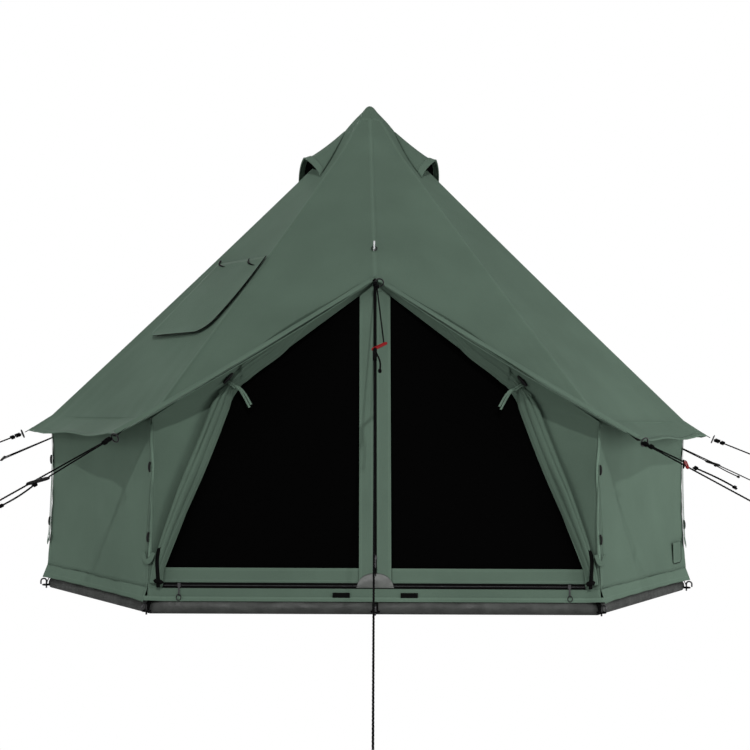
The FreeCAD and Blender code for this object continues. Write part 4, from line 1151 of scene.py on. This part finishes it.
def make_flap(name, node, azimuth, slope, proud=0.0, bow=0.0):
    """Canvas flap on its CAD plate: rounded lower corners, a bowed front edge, and the plate's own frame."""
    turn = Matrix.Rotation(math.radians(azimuth), 4, "Z") @ Matrix.Rotation(slope, 4, "X")
    local = [turn.inverted() @ v.co for v in NODES[node].data.vertices]
    top, low = max(p.y for p in local), min(p.y for p in local)
    face = max(p.z for p in local) + proud
    upper = [p.x for p in local if p.y > top - 0.001]
    lower = [p.x for p in local if p.y < low + 0.001]
    height = top - low
    rounding = (0.08 * height, 0.17 * height)
    rows = []
    for k in range(45):
        rise = height * (k / 44) ** 1.6
        level = rise / height
        back, front = (r - math.sqrt(r ** 2 - max(0.0, r - rise) ** 2) for r in rounding)
        a = min(lower) + (min(upper) - min(lower)) * level + back
        b = max(lower) + (max(upper) - max(lower)) * level - front + bow * math.sin(math.pi * level)
        row = []
        for c in range(41):
            t = c / 40
            x = a + (b - a) * t
            edge = min((b - a) * min(t, 1 - t), rise)
            curl = 0.003 * (1 - smooth(edge, 0.0, 0.05)) * (1 - level)
            lift = 0.003 * math.sin(math.pi * t) * math.sin(math.pi * min(level + 0.1, 1)) + curl
            row.append((turn @ Vector((x, low + rise, face + lift)), max(edge, 0.0001), rise + x))
        rows.append(row)
    place(sheet(name, rows, CANVAS, 0.0016), node, "canvas", node)
    # Black tape along the flap's right and lower edges, shifted so that a thin strip shows beyond them as a
    # dark edge line.
    shift = turn @ Vector((0.0022, 0.0022, -0.0012))
    edge = [row[-1][0] + shift for row in rows[::-1]] + [cell[0] + shift for cell in rows[0][-2::-1]]
    dark_edge_tape = tape(f"{name}_binding", edge, 0.012, turn @ Vector((0, 0, 1)), 0.0012)
    place(dark_edge_tape, node, "webbing")


def make_flaps():
    """Stove flap with the hooks of its tie cords, and the small cable port flap."""
    azimuth = -1.5 * STEP
    make_flap("stove_flap_canvas", "stove_flap", azimuth, ROOF_ANGLE, bow=0.020)
    across, normal = polar(azimuth + 90, 1, 0), gore_normal(azimuth)
    stations = ((0.0, 0.0, 0.004), (0.040, 0.034, 0.016), (0.080, 0.036, 0.012), (0.120, 0.041, 0.004))
    for k, (side, out) in enumerate(((-0.163, 0.737), (0.111, 0.754)), start=1):
        path = [polar(azimuth, out + down, APEX - FALL * (out + down) / math.cos(HALF))
                + across * (side + x) + normal * lift for x, down, lift in stations]
        hook = tube(f"stove_tie_{k}", bezier(path, 20), lambda s: 0.0052 - 0.0030 * s, TAPE, sides=8)
        place(hook, "root", "webbing")
    make_flap("cable_flap_canvas", "cable_flap", -azimuth, math.pi / 2, proud=0.012)
    paint(PATCH, "stove_pad")


def make_groundsheet():
    """Coated tray floor: a creased rim standing round a flat floor."""
    corners = [polar(a, WALL_R, 0) for a in CORNERS]
    rim = []
    for a, b in zip(corners, corners[1:] + corners[:1]):
        steps = max(8, int((b - a).length / 0.03))
        rim += [a.lerp(b, k / steps) for k in range(steps)]
    levels = (  # distance outwards and height round the rim, from under it to the floor inside
        (0.0, 0.0015), (0.004, 0.004), (0.012, 0.016), (0.010, 0.030), (0.003, 0.044), (-0.005, 0.050),
        (-0.008, 0.064), (-0.010, 0.064), (-0.012, 0.030), (-0.014, 0.006), (-0.05, 0.0035))
    rows = []
    for out, height in levels:
        row = []
        for point in rim + rim[:1]:
            outward = Vector((point.x, point.y, 0)).normalized()
            soft = 0.004 * wobble(point, 0.12, height * 40) * smooth(height, 0.002, 0.02)
            row.append(point + outward * (out * 0.8 + soft) + Vector((0, 0, height)))
        rows.append(row)
    inner, centre = rows[-1], Vector((0, 0, 0.0035))
    rows += [[p.lerp(centre, share) for p in inner] for share in (0.5, 0.985)]
    tray = sheet("groundsheet_tray", rows, PVC, 0.0008, flip=True)
    place(tray, "root", "groundsheet_pvc", "groundsheet")


# ---------------------------------------------------------------- ropes and pegs

def guy_axis(name):
    """Unit vector down a rope, from the runner's joint."""
    return -Vector(JOINTS[f"guy_tension_{name}"]["axis"]).normalized()


def runner_size(share):
    """Radius along a slide runner, which is round at both ends."""
    return 0.0005 + 0.0062 * math.sqrt(max(0.0, 1 - abs(2 * share - 1) ** 7))


GUYS = [("front", 0), ("rear", 180)] + [(f"{side}_{k}", sign * STEP * k) for side, sign in SIDES
                                        for k in range(1, 5)]
LAY = {"twist": 2 * math.pi / 0.014, "lobes": 3, "depth": 0.13}  # three strands wound round each other


def laid_rope(name, start, stop, radius):
    """Straight rope between two points."""
    steps = int((stop - start).length / 0.004)
    return tube(name, straight(start, stop, steps), radius, BLACK_CORD, sides=9, **LAY)


def make_ropes():
    """Laid cords from the eave to the stakes, the returning strands, knots and tails."""
    for name, azimuth in GUYS:
        front = name == "front"
        down = guy_axis(name)
        across = Vector((-down.y, down.x, 0)).normalized()
        body = f"guy_runner_{name}"
        low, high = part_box(body)
        if front:
            tip_r, tip_z = PEAK_R, APEX - FALL * PEAK_R
        else:
            tip_r, tip_z = FRONT_R if name.endswith("_1") else EAVE_R, EAVE_Z
        tip = polar(azimuth, tip_r, tip_z)
        drop = ((low + high) / 2 - tip).dot(down) - 0.006 + (0.022 if front else 0.0)
        length = -tip.z / down.z
        rope = laid_rope(f"guy_rope_{name}", tip + down * 0.030, tip + down * (length - 0.016), 0.0030)
        place(rope, "root", "rope", *(["guy_ropes"] if front else []))
        offset = across * 0.034
        begin, finish = tip + offset * 0.15 + down * 0.030, tip + offset + down * (drop - 0.020)
        strand = laid_rope(f"guy_return_{name}", begin, finish, 0.0028)
        if front:
            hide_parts("guy_return_lines")
        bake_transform(strand)
        whipping = [coil_parts(tip + down * 0.034, down, 4),
                    coil_parts(tip + down * 0.062 + offset * 0.2, down, 3)]
        place(merged(f"guy_knot_{name}", whipping, BLACK_CORD), "root", "rope")
        end = tip + down * (drop + 0.036) + (Vector((0, 0, 0)) if front else offset)
        path = bezier([end, end + across * 0.016 + down * 0.06, end + across * 0.024 + down * 0.10,
                       end + across * 0.018 + down * 0.16], 22)
        tail = [coil_parts(end - down * 0.014, down, 19 if front else 3, 0.0052, 0.0026),
                tube_parts(path, 0.0032, sides=8, **LAY), coil_parts(path[-1], down, 2.5, 0.0042, 0.0028)]
        place(merged(f"guy_tail_{name}", tail, BLACK_CORD), body, "rope")
        ends = (tip + down * (drop + 0.030) - across * 0.012,
                tip + offset + down * (drop - 0.034) + across * 0.012)
        colour = RED if name in ("front", "right_1") else BLACK_PLASTIC
        bar = tube(f"guy_bar_{name}", straight(*ends, 24), runner_size, colour, sides=12)
        place(bar, body, "runner_plastic", body)
        above = polar(azimuth, tip_r - 0.045, tip_z + (0.032 if front else 0.03))
        path = bezier([above, above.lerp(tip, 0.5), tip + down * 0.012], 10)
        place(tape(f"eave_strap_{name}", path, 0.022, polar(azimuth, 0.5, 0.85), 0.003), "root", "webbing")


def paint_fittings():
    """Materials of the CAD nodes that stay visible as they are."""
    paint(BLACK_METAL, "eave_loops", "roof_grommet")
    paint(DARK_STEEL, "guy_stakes", "base_pegs")
    paint(BLACK_CORD, "base_loops")
    paint(BLACK_PLASTIC, "centre_pole_foot", "centre_pole_cap", "door_frame_feet")
    tubes = ("centre_pole_lower", "centre_pole_middle", "centre_pole_upper", "door_frame_left",
             "door_frame_right", "door_frame_apex")
    paint(STEEL, *(node for node in NODES if node.startswith(tubes)))


def make_base_straps():
    """Short webbing from each base corner to its peg loop."""
    for name, azimuth in GUYS:
        radius = FRONT_Y if name == "front" else WALL_R
        path = [polar(azimuth, radius + out, height)
                for out, height in ((-0.004, 0.052), (0.014, 0.046), (0.018, 0.017))]
        strap = tape(f"base_strap_{name}", bezier(path, 8), 0.024, polar(azimuth, 0.8, 0.6), 0.003)
        place(strap, "root", "webbing")


# ---------------------------------------------------------------- stage

SKY_LIGHT, SKY_SEEN = 0.41, 1.0
SUNS = (  # name, azimuth, climb, strength and width in degrees
    ("key", 4, 33, 1.65, 1.5), ("fill", -52, 14, 1.0, 25), ("back", 188, 26, 1.5, 20))
PANEL_WATTS, PANEL_SIZE, PANEL_AT = 76, 2.0, (58, 4.2, 0.7)
LENS, SENSOR, SHIFT = 61.5, 36, (0.0105, 0.0561)
CAMERA_AT = (-1.79, 6.255, 0.777)  # azimuth, distance and height
CAMERA_ROLL = 0.5


def add_to_scene(name, data):
    """Object for a light or a camera."""
    thing = bpy.data.objects.new(name, data)
    bpy.context.scene.collection.objects.link(thing)
    return thing


def make_floor():
    """Floor that takes shadows but is plain white to the camera."""
    bpy.ops.mesh.primitive_plane_add(size=120, location=(0, 0, -0.0005))
    floor = bpy.context.object
    floor.name = "floor"
    g = Graph("floor_white", 0.9)
    g.finish(g.mix(g.noise(0.4, 2), (0.80, 0.80, 0.80), (0.82, 0.82, 0.82)))
    blend = g.add("ShaderNodeMixShader")
    g.link(g.add("ShaderNodeLightPath").outputs["Is Camera Ray"], blend.inputs[0])
    g.link(g.shader.outputs[0], blend.inputs[1])
    g.link(g.add("ShaderNodeEmission").outputs[0], blend.inputs[2])
    g.link(blend.outputs[0], g.tree.nodes["Material Output"].inputs["Surface"])
    floor.data.materials.append(g.material)


def make_lights():
    """White sky, three suns and a panel that brightens the right wall."""
    world = bpy.data.worlds.new("studio")
    bpy.context.scene.world = world
    world.use_nodes = True
    tree = world.node_tree
    glow = tree.nodes["Background"]
    glow.inputs["Color"].default_value = (1.0, 1.0, 1.0, 1)
    path = tree.nodes.new("ShaderNodeLightPath")
    level = tree.nodes.new("ShaderNodeMapRange")
    level.inputs["To Min"].default_value, level.inputs["To Max"].default_value = SKY_LIGHT, SKY_SEEN
    tree.links.new(path.outputs["Is Camera Ray"], level.inputs["Value"])
    tree.links.new(level.outputs["Result"], glow.inputs["Strength"])
    for name, azimuth, climb, energy, spread in SUNS:
        sun = bpy.data.lights.new(name, "SUN")
        sun.energy, sun.angle = energy, math.radians(spread)
        away = polar(azimuth, math.cos(math.radians(climb)), math.sin(math.radians(climb)))
        add_to_scene(name, sun).rotation_euler = away.to_track_quat("Z", "Y").to_euler()
    panel = bpy.data.lights.new("side_panel", "AREA")
    panel.energy, panel.size = PANEL_WATTS, PANEL_SIZE
    lamp = add_to_scene("side_panel", panel)
    lamp.location = polar(*PANEL_AT)
    lamp.rotation_euler = lamp.location.to_track_quat("Z", "Y").to_euler()
    lamp.visible_camera = False


def make_camera():
    """Camera in front of the door, a little to its left."""
    camera = bpy.data.cameras.new("camera")
    camera.lens, camera.sensor_width = LENS, SENSOR
    camera.shift_x, camera.shift_y = SHIFT
    view = add_to_scene("camera", camera)
    view.location = polar(*CAMERA_AT)
    view.rotation_euler = (Matrix.Rotation(math.radians(CAMERA_AT[0]), 3, "Z")
                           @ Matrix.Rotation(math.pi / 2, 3, "X")
                           @ Matrix.Rotation(math.radians(CAMERA_ROLL), 3, "Z")).to_euler()
    bpy.context.scene.camera = view
    bpy.context.scene.view_settings.view_transform = "Standard"


make_roof()
make_roof_hem()
make_apex_cap()
make_hoods()
make_walls()
make_front_panels()
make_sill()
make_mesh_door()
make_canvas_doors()
make_zip_tails()
make_flaps()
make_groundsheet()
make_ropes()
paint_fittings()
make_base_straps()
make_floor()
make_lights()
make_camera()
